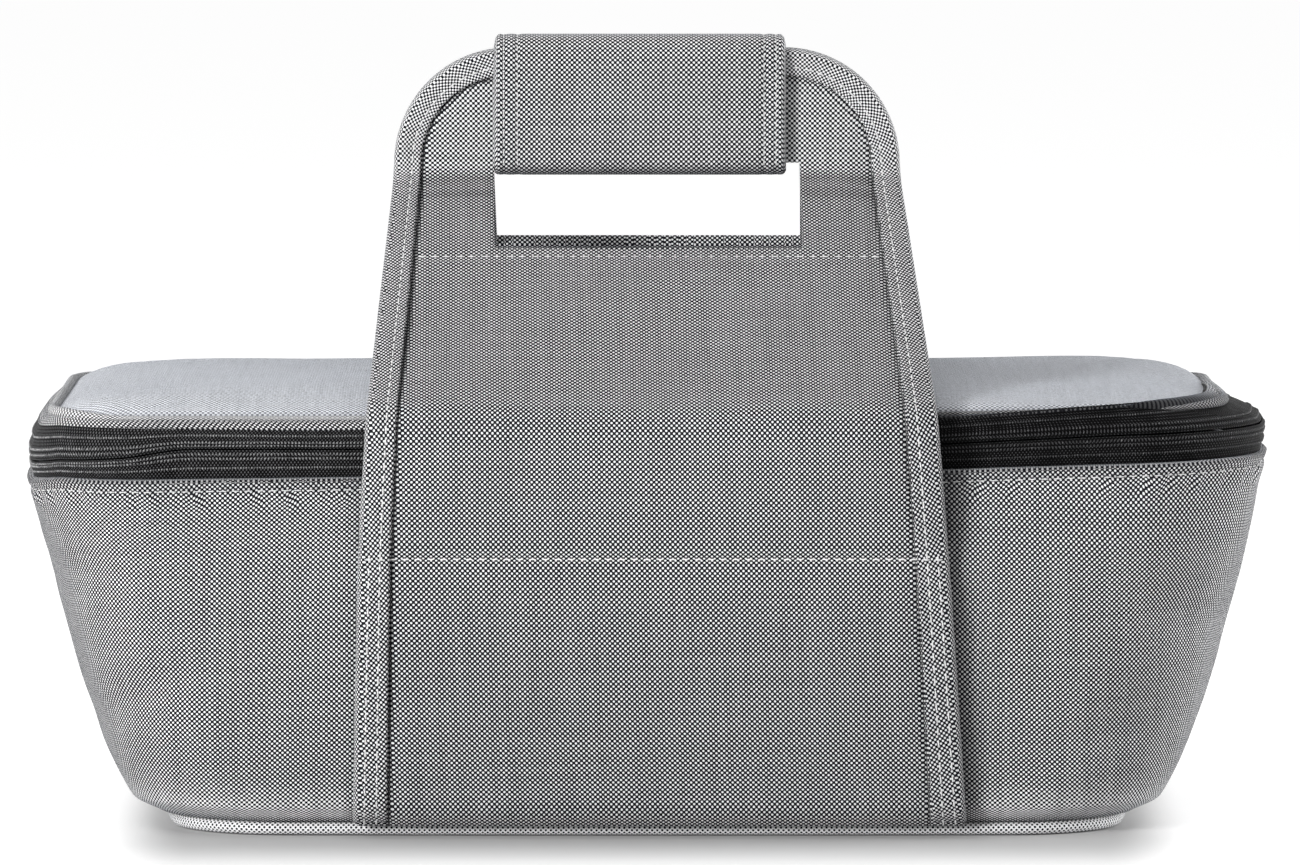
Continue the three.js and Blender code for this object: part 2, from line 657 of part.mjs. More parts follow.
function uprightCylinder(radius, height, x) {
  const sides = 4 * ROUND_STEPS;
  const cylinder = new THREE.CylinderGeometry(radius, radius, height, sides);
  return solid(cylinder.rotateX(Math.PI / 2).translate(x, pinOut, ZIP_MIDDLE));
}

function slider(side) {
  const x = side * SLIDER_PARK;
  const slab = (y0, y1, height) => solid(block(
    x - SLIDER_LENGTH / 2, x + SLIDER_LENGTH / 2, y0, y1, ZIP_MIDDLE - height / 2, ZIP_MIDDLE + height / 2));
  const lug = (face) => solid(block(
    x - eyeRadius, x + eyeRadius, pinOut - PIN_RADIUS, plateBack,
    ZIP_MIDDLE + face - LUG / 2, ZIP_MIDDLE + face + LUG / 2));
  const lugFace = (PIN_LENGTH - LUG) / 2;
  return geometryOf(slab(plateFront, plateBack, Math.max(PIN_LENGTH, SLIDER_FRONT_HEIGHT))
    .add(slab(plateFront, backBack, SLIDER_NECK))
    .add(slab(backFront, backBack, SLIDER_BACK_HEIGHT))
    .add(lug(lugFace))
    .add(lug(-lugFace))
    .add(uprightCylinder(PIN_RADIUS, PIN_LENGTH, x)));
}

function pull(side) {
  const x = side * SLIDER_PARK;
  const height = Math.min(PULL_HEIGHT, PIN_LENGTH - 2 * LUG - 2 * FIT);
  const far = x + side * PULL_LENGTH;
  const tab = solid(block(
    Math.min(x, far), Math.max(x, far), pinOut - PULL / 2, pinOut + PULL / 2,
    ZIP_MIDDLE - height / 2, ZIP_MIDDLE + height / 2));
  const eye = uprightCylinder(eyeRadius, height, x);
  const bore = uprightCylinder(PIN_RADIUS + FIT, 2 * height, x);
  return geometryOf(tab.add(eye).subtract(bore));
}

// Finishes
const finish = (color, roughness, metalness = 0) => ({ color, roughness, metalness });
const greyWeave = finish(0x94959a, 0.9);
const paleWeave = finish(0xa9aab0, 0.9);
const blackTape = finish(0x1b1b1d, 0.8);
const foamWhite = finish(0xe6e6e2, 0.95);
const silverLining = finish(0xb9bcc0, 0.45);
const boardGrey = finish(0x4a4a4c, 0.6);
const gunmetal = finish(0x3a3b3d, 0.35, 0.9);
const hookBlack = finish(0x161617, 0.95);

const carrier = new THREE.Group();

function add(name, geometry, { color, roughness, metalness }) {
  const mesh = new THREE.Mesh(geometry, new THREE.MeshStandardMaterial({ color, roughness, metalness }));
  mesh.name = name;
  carrier.add(mesh);
}

add('base_panel', basePlate(0, 0, BASE_FABRIC), greyWeave);
add('base_piping', basePiping(), greyWeave);
add('base_board', basePlate(FIT, BASE_FABRIC + FIT, BASE_BOARD), boardGrey);
add('tub_shell', tubShell(), greyWeave);
add('tub_foam', tubLayer(foamBottom, foamInset, FOAM), foamWhite);
add('tub_lining', tubLayer(foamBottom + FOAM + FIT, liningInset, LINING), silverLining);
add('rim_facing', rimFacing(), greyWeave);
add('zip_tape_lower', zipTape(ZIP_BOTTOM), blackTape);
add('zip_coil_lower', zipCoil(ZIP_SLOT_BOTTOM - COIL), blackTape);
add('hinge_strip', hingeStrip(), blackTape);
add('zip_stop_left', zipStop(-1), gunmetal);
add('zip_stop_right', zipStop(1), gunmetal);

add('zip_tape_upper', zipTape(ZIP_SLOT_TOP), blackTape);
add('zip_coil_upper', zipCoil(ZIP_SLOT_TOP), blackTape);
add('lid_border', band(lidPlan(0), lidPlan(LID_TAPER), LID_BORDER_BOTTOM, LID_BORDER_TOP, true), greyWeave);
add('lid_piping', cordRing(lidPlan(LID_TAPER), LID_PIPING_RADIUS, lidPipingHeight), greyWeave);
add('lid_top_panel', lidLayer(0, LID_FABRIC), paleWeave);
add('lid_foam', lidLayer(LID_FABRIC + FIT, LID_FOAM), foamWhite);
add('lid_lining', lidLayer(LID_FABRIC + LID_FOAM + 2 * FIT, LINING), silverLining);

const sewnPieces = [
  ['anchor_padding', sewnSheet(0, 0, 0, sewnPadding), foamWhite],
  ['anchor_panel', sewnSheet(0, 0, STACK - FABRIC, STACK), greyWeave],
  ['anchor_binding_left', sewnBinding(-1), greyWeave],
  ['anchor_binding_right', sewnBinding(1), greyWeave],
];
const freePieces = [
  ['handle_panel', panelLayer(HALF_STACK - FABRIC, HALF_STACK), greyWeave],
  ['handle_padding', panelLayer(-PADDING / 2, PADDING / 2), foamWhite],
  ['handle_lining', panelLayer(-HALF_STACK, FABRIC - HALF_STACK), greyWeave],
  ['handle_binding', panelBinding(), greyWeave],
];
for (const [name, geometry, look] of [...sewnPieces, ...freePieces]) {
  add(`front_${name}`, geometry, look);
  add(`rear_${name}`, mirrored(geometry), look);
}

add('grip_pad', gripPad(), greyWeave);
add('grip_loop_strip', gripStrip(loopBottom, LOOP_REACH), hookBlack);
add('grip_flap', gripFlap(), greyWeave);
add('grip_hook_strip', gripStrip(hookBottom, LIP_REACH), hookBlack);

for (const [side, name] of [[-1, 'left'], [1, 'right']]) {
  add(`zip_slider_${name}`, slider(side), gunmetal);
  add(`zip_pull_${name}`, pull(side), gunmetal);
}

export default carrier;
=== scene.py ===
import math

import bpy
import numpy as np
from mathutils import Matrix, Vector


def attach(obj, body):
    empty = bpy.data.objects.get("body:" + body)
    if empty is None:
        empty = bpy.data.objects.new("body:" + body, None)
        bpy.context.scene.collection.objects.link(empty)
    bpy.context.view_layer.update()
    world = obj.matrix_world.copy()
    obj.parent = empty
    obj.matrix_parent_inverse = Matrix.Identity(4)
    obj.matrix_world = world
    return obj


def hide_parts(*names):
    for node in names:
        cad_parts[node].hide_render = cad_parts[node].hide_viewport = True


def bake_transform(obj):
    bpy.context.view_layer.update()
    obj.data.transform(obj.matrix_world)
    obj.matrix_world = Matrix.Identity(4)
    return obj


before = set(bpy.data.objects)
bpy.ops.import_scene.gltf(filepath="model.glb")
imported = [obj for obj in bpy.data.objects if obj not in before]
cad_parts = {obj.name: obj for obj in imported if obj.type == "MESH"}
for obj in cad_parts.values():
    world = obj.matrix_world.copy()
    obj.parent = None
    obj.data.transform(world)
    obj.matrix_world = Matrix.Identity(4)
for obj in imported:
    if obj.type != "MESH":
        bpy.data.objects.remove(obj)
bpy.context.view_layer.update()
scene = bpy.context.scene


# Studio: a camera at the photograph's viewing angle, a pale floor that keeps the shadow, and soft light
# that is a little stronger from the left.
CAMERA_DISTANCE = 4.2
CAMERA_ELEVATION = math.radians(4.2)
CAMERA_AIM = Vector((0.0011, 0.0, 0.1325))
VIEW_WIDTH = 0.464
SENSOR_WIDTH = 36
FLOOR_REACH = 20
FOOTPRINT = (0.156, 0.112)
SIDE_FADE = 4
FLOOR_NEAR = 0.02
FLOOR_FAR = 0.15
FLOOR_GLOW = 0.66
FLOOR_GREY = (0.63, 0.63, 0.63, 1)
SKY = (0.5, 1.0)

LAMP_AIM = Vector((0, 0, 0.12))
LAMPS = (("key", (-2.35, -2.5, 0.85), 0.9, 106), ("fill", (3.0, 0.6, 0.45), 1.2, 84),
         ("top", (-0.9, 0.2, 2.4), 1.6, 9))


def add_object(name, data):
    made = bpy.data.objects.new(name, data)
    scene.collection.objects.link(made)
    return made


def add_aimed(name, data, place, direction):
    """Adds a camera or a lamp at a place, looking in a direction."""
    made = add_object(name, data)
    made.location = place
    made.rotation_euler = direction.to_track_quat("-Z", "Y").to_euler()
    return made


scene.view_settings.view_transform = "Standard"
camera_data = bpy.data.cameras.new("camera")
camera_data.sensor_width = SENSOR_WIDTH
camera_data.lens = SENSOR_WIDTH * CAMERA_DISTANCE / VIEW_WIDTH
camera_data.clip_end = 100
toward = Vector((0, -math.cos(CAMERA_ELEVATION), math.sin(CAMERA_ELEVATION)))
scene.camera = add_aimed("camera", camera_data, CAMERA_AIM + CAMERA_DISTANCE * toward, -toward)


class Tree:
    """Short calls for building a shader or geometry node tree. A node given as a value stands for its
    first output."""

    def __init__(self, tree, owner=None):
        self.tree = tree
        self.owner = owner

    def node(self, kind, inputs=None, **settings):
        node = self.tree.nodes.new(kind)
        for key, value in settings.items():
            setattr(node, key, value)
        for key, value in (inputs or {}).items():
            if isinstance(value, bpy.types.Node):
                value = value.outputs[0]
            if isinstance(value, bpy.types.NodeSocket):
                self.tree.links.new(value, node.inputs[key])
            else:
                node.inputs[key].default_value = value
        return node

    def math(self, operation, a, b=0.0):
        return self.node("ShaderNodeMath", {0: a, 1: b}, operation=operation)

    def ramp(self, value, low, high, to_low=0.0, to_high=1.0, smooth=True):
        kind = "SMOOTHSTEP" if smooth else "LINEAR"
        ends = {0: value, 1: low, 2: high, 3: to_low, 4: to_high}
        return self.node("ShaderNodeMapRange", ends, interpolation_type=kind)

    def mix(self, factor, a, b):
        return self.node("ShaderNodeMix", {0: factor, 6: a, 7: b}, data_type="RGBA").outputs[2]

    def noise(self, vector, scale, detail=2.0):
        return self.node("ShaderNodeTexNoise", {"Vector": vector, "Scale": scale, "Detail": detail})

    def waves(self, vector, cell):
        """Crossed waves that change sign from cell to cell, like the two yarns of a plain weave."""
        split = self.node("ShaderNodeSeparateXYZ", {0: vector}).outputs
        turns = (self.math("MULTIPLY", split[k], math.pi / cell[k]) for k in (0, 1))
        return self.math("MULTIPLY", *(self.math("SINE", turn) for turn in turns))

    def surface(self, colour, roughness, height, strength, depth, **more):
        """Ends a material in a shader with a bump. Further sockets are named, with _ for a space."""
        bump = self.node("ShaderNodeBump", {"Strength": strength, "Distance": depth, "Height": height})
        values = {"Base Color": colour, "Roughness": roughness, "Normal": bump}
        values.update((name.replace("_", " "), value) for name, value in more.items())
        self.node("ShaderNodeOutputMaterial", {"Surface": self.node("ShaderNodeBsdfPrincipled", values)})
        return self.owner


def blank_tree(owner):
    owner.use_nodes = True
    owner.node_tree.nodes.clear()
    return Tree(owner.node_tree, owner)


def blank_material(name):
    """The empty tree of a new material, and the place on the object that its patterns follow."""
    t = blank_tree(bpy.data.materials.new(name))
    return t, t.node("ShaderNodeTexCoord").outputs["Object"]


def seen_rays(t):
    """One for rays of the camera and for what metal shows, and zero for the light on the object."""
    rays = t.node("ShaderNodeLightPath").outputs
    shiny = t.math("MAXIMUM", rays["Is Glossy Ray"], rays["Is Transmission Ray"])
    return t.math("MAXIMUM", rays["Is Camera Ray"], shiny)


def floor_material():
    """Pale floor: grey near the base, where it takes the real shadow, and glowing white to the camera
    further off. The glow's ramp away from the footprint paints the soft edge of that shadow.
    """
    t, place = blank_material("pale_floor")
    split = t.node("ShaderNodeSeparateXYZ", {0: place}).outputs
    beside, before = (t.math("MAXIMUM", t.math("SUBTRACT", t.math("ABSOLUTE", split[k]), FOOTPRINT[k]), 0.0)
                      for k in (0, 1))
    beside = t.math("MULTIPLY", beside, SIDE_FADE)
    square = t.math("ADD", t.math("MULTIPLY", beside, beside), t.math("MULTIPLY", before, before))
    glow = t.ramp(t.math("SQRT", square), FLOOR_NEAR, FLOOR_FAR, 0.0, FLOOR_GLOW)
    diffuse = t.node("ShaderNodeBsdfDiffuse", {"Color": FLOOR_GREY})
    emission = t.node("ShaderNodeEmission", {"Strength": t.math("MULTIPLY", glow, seen_rays(t))})
    both = t.node("ShaderNodeAddShader", {0: diffuse, 1: emission})
    t.node("ShaderNodeOutputMaterial", {"Surface": both})
    return t.owner


floor_mesh = bpy.data.meshes.new("floor")
floor_corners = [(x * FLOOR_REACH, y * FLOOR_REACH, 0) for x, y in ((-1, -1), (1, -1), (1, 1), (-1, 1))]
floor_mesh.from_pydata(floor_corners, [], [(0, 1, 2, 3)])
floor_mesh.materials.append(floor_material())
floor = add_object("floor", floor_mesh)

scene.world = bpy.data.worlds.new("studio")
sky = blank_tree(scene.world)
strength = sky.ramp(seen_rays(sky), 0, 1, *SKY, smooth=False)
background = sky.node("ShaderNodeBackground", {"Color": (1, 1, 1, 1), "Strength": strength})
sky.node("ShaderNodeOutputWorld", {"Surface": background})

for name, place, size, power in LAMPS:
    lamp = bpy.data.lights.new(name, "AREA")
    lamp.size = size
    lamp.energy = power
    add_aimed(name, lamp, place, LAMP_AIM - Vector(place))


# Tub wall: woven cloth over foam, one soft skin all round, turned under at its foot and puckered where it
# is sewn under the zip. Sizes are in millimetres, and a piece's cloth coordinates run along its threads.
MM = 0.001
FOOT = (5.2, 174.0, 115.2)
TURN = (11.0, 184.5, 120.5)
BELLY = (80.0, 209.0, 130.5)
RIM = (124.6, 219.5, 119.0)
WALL_CORNER = 42.0
END_BOW = 0.035
FOOT_SOFTNESS = 0.1
BELLY_SOFTNESS = 0.3
SOFT_POWER = 3.2
WALL_FABRIC = 1.2
FOOT_TUCK = 4.0
CORNER_POINTS = 22
END_POINTS = 26
FRONT_POINTS = 84
FRONT_MIDDLE = FRONT_POINTS + 2 * CORNER_POINTS + END_POINTS
HEM_STITCH = 122.6
HEM_PUCKER = 0.9
HEM_SHIFT = 0.8
HEM_DRAW = 0.7
HEM_ROLL = 0.5
WALL_RIPPLE = 0.9
PANEL_FOOT = (5.6, 105.3)
PANEL_STITCH = (98.5, 101.0)
PANEL_SKEW = (4.5, 2.3)
ZIP_TILT = ((-219.5, -4.6), (-205.0, -2.2), (0.0, 0.5), (100.0, 1.7), (219.5, 5.3))
WEAVE_CELL = (0.90 * MM, 0.88 * MM)
WHITE_YARN = (0.92, 0.92, 0.93, 1)
BLACK_YARN = (0.006, 0.006, 0.008, 1)
YARN_WANDER = 0.22
YARN_SLUBS = (((380, 16, 1), 0.1), ((16, 380, 1), 0.08))
YARN_EDGE = 0.07
SETTLE_FRAMES = 14
CLOTH = {"quality": 6, "mass": 0.25, "tension_stiffness": 12, "compression_stiffness": 6,
         "bending_stiffness": 0.35, "use_pressure": True, "vertex_group_mass": "sewn"}


def through(knots, height):
    """A smooth curve through (height, value) knots that never swings past them."""
    heights, values = (np.array(side, float) for side in zip(*knots))
    slopes = np.diff(values) / np.diff(heights)
    product = slopes[:-1] * slopes[1:]
    middle = np.where(product > 0, 2 * product / np.where(product > 0, slopes[:-1] + slopes[1:], 1), 0)
    tangents = np.concatenate([slopes[:1], middle, slopes[-1:]])
    height = np.asarray(height, float)
    i = np.clip(np.searchsorted(heights, height) - 1, 0, len(slopes) - 1)
    step = heights[i + 1] - heights[i]
    t = (height - heights[i]) / step
    rise = values[i + 1] - values[i]
    start = tangents[i] * step
    end = tangents[i + 1] * step
    return values[i] + start * t + (3 * rise - 2 * start - end) * t**2 + (start + end - 2 * rise) * t**3


def unit(vectors):
    return vectors / np.linalg.norm(vectors, axis=-1, keepdims=True)


def arc(centre, radius, first, last, count):
    """Points of a circle between two angles in degrees."""
    angles = np.radians(np.linspace(first, last, count))
    return np.array(centre) + radius * np.stack([np.cos(angles), np.sin(angles)], 1)


def ring(half_length, half_depth, corner):
    """A plan with bowed ends, from the middle of the rear, round the left end, the front and the right."""
    x = half_length - corner
    y = half_depth - corner
    parts = [np.linspace((0, half_depth), (-x, half_depth), FRONT_POINTS // 2, endpoint=False)]
    ends = [((-x, y), 90, (-half_length, -y), END_POINTS), ((-x, -y), 180, (x, -half_depth), FRONT_POINTS),
            ((x, -y), 270, (half_length, y), END_POINTS), ((x, y), 0, (0, half_depth), FRONT_POINTS // 2)]
    for centre, first, stop, count in ends:
        turn = arc(centre, corner, first, first + 90, CORNER_POINTS + 1)
        parts += [turn[:-1], np.linspace(turn[-1], stop, count, endpoint=False)]
    flat = np.concatenate(parts)
    flat[:, 0] *= 1 - END_BOW * (flat[:, 1] / half_depth) ** 2
    return flat


def softening(x, y, half_length, half_depth, softness):
    share = np.abs(x / half_length) ** SOFT_POWER + np.abs(y / half_depth) ** SOFT_POWER
    return 1 - softness + softness * share ** (-1 / SOFT_POWER)


def soft_ring(half_length, half_depth, corner, softness):
    flat = ring(half_length, half_depth, corner)
    return flat * softening(flat[:, 0], flat[:, 1], half_length, half_depth, softness)[:, None]


def wall_sizes(z):
    half_length = through([(k[0], k[1]) for k in (FOOT, TURN, BELLY, RIM)], z)
    half_depth = through([(k[0], k[2]) for k in (FOOT, TURN, BELLY, RIM)], z)
    softness = through([(FOOT[0], FOOT_SOFTNESS), (BELLY[0], BELLY_SOFTNESS), (RIM[0], 0)], z)
    return half_length, half_depth, softness


def wall_ring(z, inset=0.0):
    half_length, half_depth, softness = (float(v) for v in wall_sizes(z))
    return soft_ring(half_length - inset, half_depth - inset, WALL_CORNER - inset, softness)


def wall_front(x, z):
    """How far the front wall stands from the middle plane."""
    half_length, half_depth, softness = wall_sizes(z)
    flat = np.asarray(x, float)
    for _ in range(6):
        flat = x / softening(flat, half_depth, half_length, half_depth, softness)
    return half_depth * softening(flat, half_depth, half_length, half_depth, softness)


def smooth(value, low, high):
    t = np.clip((np.asarray(value, float) - low) / (high - low), 0, 1)
    return t * t * (3 - 2 * t)


def hump(value, middle, width):
    """A smooth hump of height one."""
    return np.exp(-(((value - middle) / width) ** 2))


def at_height(flat, z):
    """Points of a plan lifted to a height."""
    return np.column_stack([flat, np.broadcast_to(z, len(flat))])


def tilted(points, share=1.0):
    """The same points with the rim and the zip a little lower at the left end and higher at the right."""
    lean = np.interp(points[..., 0], *zip(*ZIP_TILT))
    moved = points.copy()
    y = points[..., 1]
    fade = np.where(lean > 0, 0.9 * smooth(y, -70, 70), smooth(y, 0, 90))
    moved[..., 2] += lean * smooth(points[..., 2], 96, 122) * share * (1 - fade)
    return moved


def ripple(points, wavelength, seed, count=6):
    """A gentle unevenness of about one unit, the same on every run."""
    rng = np.random.default_rng(seed)
    total = np.zeros(points.shape[:-1])
    for _ in range(count):
        direction = unit(rng.normal(size=points.shape[-1]))
        length = wavelength * rng.uniform(0.7, 1.6)
        total += np.sin(points @ direction * 2 * np.pi / length + rng.uniform(0, 2 * np.pi))
    return total / math.sqrt(count)


def outward(flat):
    """Unit directions that point out of a closed plan."""
    along = np.roll(flat, -1, 0) - np.roll(flat, 1, 0)
    out = unit(np.stack([along[:, 1], -along[:, 0]], 1))
    return out if (out * flat).sum() > 0 else -out


def run_length(points):
    """Distance along a line of points from its first one."""
    steps = np.linalg.norm(np.diff(points, axis=0), axis=1)
    return np.concatenate([[0], np.cumsum(steps)])


def round_length(flat):
    """Distance round a closed plan, counted both ways from the middle of its front."""
    length = run_length(np.vstack([flat, flat[:1]]))
    return length - length[FRONT_MIDDLE]


def closed(rows):
    """Rows of a grid with the first column again at the end."""
    return np.concatenate([rows, rows[:, :1]], 1)


def climb(grid):
    """Distance up each column of a closed grid."""
    return closed(np.array([run_length(column) for column in grid.transpose(1, 0, 2)]).T)


def flat_cut(across, along):
    """Cloth coordinates of a sheet that is cut flat."""
    return np.stack(np.meshgrid(across, along), 2)


def spaced(stops, counts):
    """Values from stop to stop, in so many even steps from each to the next."""
    spans = [np.linspace(a, b, n, endpoint=False) for a, b, n in zip(stops, stops[1:], counts)]
    return np.concatenate(spans + [stops[-1:]])


def piece(name, points, faces, corners, material, painted_shading=None):
    """A mesh piece from points in millimetres, with a cloth coordinate for each corner of each face. The
    last argument is painted shade on the cloth at each point, in seams and folds and on sides turned from
    the light. Below zero it is painted light, showing more white yarn."""
    used = np.unique([i for face in faces for i in face])
    order = {int(old): new for new, old in enumerate(used)}
    mesh = bpy.data.meshes.new(name)
    mesh.from_pydata((np.asarray(points)[used] * MM).tolist(), [], [[order[i] for i in f] for f in faces])
    layer = mesh.uv_layers.new(name="cut")
    layer.data.foreach_set("uv", (np.array(corners, np.float32) * MM).ravel())
    if painted_shading is not None:
        shade = mesh.attributes.new("painted_shading", "FLOAT", "POINT")
        shade.data.foreach_set("value", np.asarray(painted_shading, np.float32).ravel()[used])
    mesh.polygons.foreach_set("use_smooth", [True] * len(mesh.polygons))
    mesh.materials.append(material)
    return add_object(name, mesh)


def quads(grid, cut, keep=None, around=False):
    """Faces over a grid of points, and the cloth coordinates of their corners."""
    rows, columns = grid.shape[:2]
    faces, corners = [], []
    for r in range(rows - 1):
        for c in range(columns if around else columns - 1):
            if keep is None or keep[r, c]:
                low, high, n = r * columns, (r + 1) * columns, (c + 1) % columns
                faces.append((low + c, low + n, high + n, high + c))
                corners += [cut[r, c], cut[r, c + 1], cut[r + 1, c + 1], cut[r + 1, c]]
    return faces, corners


def cloth(name, grid, cut, material, keep=None, around=False, painted_shading=None):
    """A sheet over a grid of points. Around joins the last column to the first."""
    faces, corners = quads(grid, cut, keep, around)
    return piece(name, grid.reshape(-1, 3), faces, corners, material, painted_shading)


def settle(made, sewn, pressure, limit):
    """Lets a sheet swell over its filling by a cloth simulation. Sewn is how firmly each point is held,
    from 0 to 1, and limit is how far a point may move."""
    count = len(made.data.vertices)
    start = np.zeros(count * 3)
    made.data.vertices.foreach_get("co", start)
    held = made.vertex_groups.new(name="sewn")
    for level in np.unique(np.round(sewn, 1)):
        if level > 0:
            held.add(np.flatnonzero(np.round(sewn, 1) == level).tolist(), float(level), "REPLACE")
    swell = made.modifiers.new("filling", "CLOTH")
    for setting, value in CLOTH.items():
        setattr(swell.settings, setting, value)
    swell.settings.uniform_pressure_force = pressure
    swell.settings.effector_weights.gravity = 0
    swell.point_cache.frame_start = 1
    swell.point_cache.frame_end = SETTLE_FRAMES
    for moment in range(1, SETTLE_FRAMES + 1):
        scene.frame_set(moment)
    settled = made.evaluated_get(bpy.context.evaluated_depsgraph_get()).to_mesh()
    end = np.zeros(count * 3)
    settled.vertices.foreach_get("co", end)
    move = (end - start).reshape(-1, 3)
    length = np.linalg.norm(move, axis=1)[:, None]
    capped = limit * MM * np.tanh(length / (limit * MM)) / np.maximum(length, 1e-9)
    made.modifiers.clear()
    made.vertex_groups.clear()
    made.data.vertices.foreach_set("co", (start.reshape(-1, 3) + move * capped).ravel())
    scene.frame_set(1)


def lay_rim_threads(mesh):
    """Gives the narrow faces that a thickness adds their own cloth coordinates, so no thread smears."""
    layer = mesh.uv_layers["cut"].data
    for face in mesh.polygons:
        spots = [layer[i].uv.copy() for i in face.loop_indices]
        after = spots[1:] + spots[:1]
        flat = abs(sum(a.x * b.y - b.x * a.y for a, b in zip(spots, after))) / 2
        if flat > 0.4 * face.area:
            continue
        points = [mesh.vertices[i].co for i in face.vertices]
        edges = [b - a for a, b in zip(points, points[1:] + points[:1])]
        k = max(range(len(edges)), key=lambda j: (after[j] - spots[j]).length + 1e-3 * edges[j].length)
        along = edges[k].normalized()
        across = face.normal.cross(along)
        heading = after[k] - spots[k]
        turn = math.atan2(heading.y, heading.x) if heading.length > 1e-9 else 0.0
        for i, point in zip(face.loop_indices, points):
            run, rise = (point - points[k]).dot(along), (point - points[k]).dot(across)
            layer[i].uv = (spots[k].x + run * math.cos(turn) - rise * math.sin(turn),
                           spots[k].y + run * math.sin(turn) + rise * math.cos(turn))


def finish_mesh(made, thickness=0.0, offset=-1.0, bevel=0.0):
    """Gives a sheet its thickness and softened edges, and keeps the result as a plain mesh."""
    if thickness:
        solidify = made.modifiers.new("thickness", "SOLIDIFY")
        solidify.thickness = thickness * MM
        solidify.offset = offset
    if bevel:
        soft = made.modifiers.new("soft_edge", "BEVEL")
        soft.width = bevel * MM
        soft.segments = 2
        soft.angle_limit = math.radians(50)
    bpy.context.view_layer.update()
    plain = bpy.data.meshes.new_from_object(made.evaluated_get(bpy.context.evaluated_depsgraph_get()))
    made.modifiers.clear()
    made.data = plain
    plain.name = made.name
    if thickness:
        lay_rim_threads(plain)
    return made


def weave_material(name, black_lead, white=WHITE_YARN, black=BLACK_YARN):
    """Plain weave of white and black yarns, with a rounded yarn in each cell and a fine fuzz, and with
    painted shade and light from a point attribute. Black lead is how far the black yarns cover the white
    ones."""
    t, place = blank_material(name)
    uv = t.node("ShaderNodeUVMap", uv_map="cut")
    drift = t.noise(place, 420.0, 1.0).outputs["Color"]
    centred = t.node("ShaderNodeVectorMath", {0: drift, 1: (0.5, 0.5, 0.5)}, operation="SUBTRACT")
    sway = {0: centred, "Scale": WEAVE_CELL[0] * YARN_WANDER}
    wander = t.node("ShaderNodeVectorMath", sway, operation="SCALE")
    bent = t.node("ShaderNodeVectorMath", {0: uv, 1: wander}, operation="ADD")
    checker = t.waves(bent, WEAVE_CELL)
    slubs = []
    for scale, reach in YARN_SLUBS:
        stretched = t.node("ShaderNodeMapping", {"Vector": uv, "Scale": scale})
        slubs.append(t.ramp(t.noise(stretched, 1.0), 0, 1, -reach, reach, smooth=False))
    slub = t.math("ADD", *slubs)
    # Painted shade and light: above zero the point attribute darkens the cloth towards black, below zero it
    # shows more white yarn.
    painted_shading = t.node("ShaderNodeAttribute", attribute_name="painted_shading").outputs["Fac"]
    level = t.math("SUBTRACT", t.math("ADD", checker, slub), t.math("MINIMUM", painted_shading, 0.0))
    shown = t.ramp(level, black_lead - YARN_EDGE, black_lead + YARN_EDGE)
    fuzz = t.ramp(t.noise(place, 900.0), 0.3, 0.7, 0.0, 1.0)
    pale = t.mix(fuzz, tuple(0.9 * v for v in white[:3]) + (1,), white)
    dark = t.mix(fuzz, black, tuple(2.4 * v for v in black[:3]) + (1,))
    colour = t.mix(painted_shading, t.mix(shown, dark, pale), black)
    height = t.math("POWER", t.math("ABSOLUTE", checker), 0.6)
    rough = t.ramp(fuzz, 0, 1, 0.82, 0.95, smooth=False)
    return t.surface(colour, rough, height, 0.5, 0.22 * MM, Specular_IOR_Level=0.1,
                     Sheen_Weight=0.12, Sheen_Roughness=0.24, Sheen_Tint=(0.78, 0.86, 1.0, 1))


weave = weave_material("grey_weave", 0.24)

wall_heights = np.concatenate([[FOOT[0] - 0.1], np.linspace(FOOT[0], 14, 12), np.linspace(16.5, 98, 34),
                               np.linspace(100, RIM[0] + 0.6, 26)])
wall_grid = []
for row, z in enumerate(wall_heights):
    flat = wall_ring(np.clip(z, FOOT[0], RIM[0]), 0.0 if row else FOOT_TUCK)
    wall_grid.append(at_height(flat, z))
wall_grid = np.array(wall_grid)
wall_cut = np.stack([np.array([round_length(row) for row in wall_grid]), climb(wall_grid)], 2)


def panel_edge(z, side):
    """Where the edge of the handle panel lies on the wall, on its right side or its left one."""
    half = np.interp(z, [PANEL_FOOT[0], PANEL_STITCH[0]], [PANEL_FOOT[1], PANEL_STITCH[1]])
    return side * half + np.interp(z, [PANEL_FOOT[0], PANEL_STITCH[0]], PANEL_SKEW)


WALL_DENTS = [(-174, 50, 24, 9, 2.2, 0.5), (187, 77, 26, 10, 1.8, -0.4), (-196, 92, 30, 8, 1.2, 0.2),
              (150, 34, 28, 9, 1.2, 0.3), (-135, 100, 24, 6, 0.9, 0.0), (140, 103, 26, 6, 0.9, 0.0)]
wall_x, wall_z = wall_grid[..., 0], wall_grid[..., 2]
beyond = np.maximum(wall_x - panel_edge(wall_z, 1), panel_edge(wall_z, -1) - wall_x)
free = smooth(beyond, 2, 16)
mid_wall = smooth(wall_z, 12, 40) * (1 - smooth(wall_z, 100, 116))
wall_out = WALL_RIPPLE * free * mid_wall * ripple(wall_grid, 90, 3)
for x, z, wide, tall, depth, tilt in WALL_DENTS:
    for side in (1, -1):
        facing = (wall_grid[..., 1] * side < 20).astype(float)
        dx = wall_x - side * x
        dz = wall_z - z - side * tilt * dx
        wall_out -= depth * free * facing * np.exp(-((dx / wide) ** 2) - (dz / tall) ** 2)
belt = round_length(wall_ring(BELLY[0]))[:-1, None]
pucker = ripple(belt, 9, 11) + 0.7 * ripple(belt, 16, 12)
drawn = hump(wall_z, HEM_STITCH - 3, 3.4) * (0.5 + 0.7 * np.exp(-np.abs(beyond) / 40))
gather = drawn * pucker[None] * smooth(beyond, 0, 8)
wall_out += HEM_PUCKER * gather
wall_cut[..., 1] += HEM_SHIFT * closed(gather)
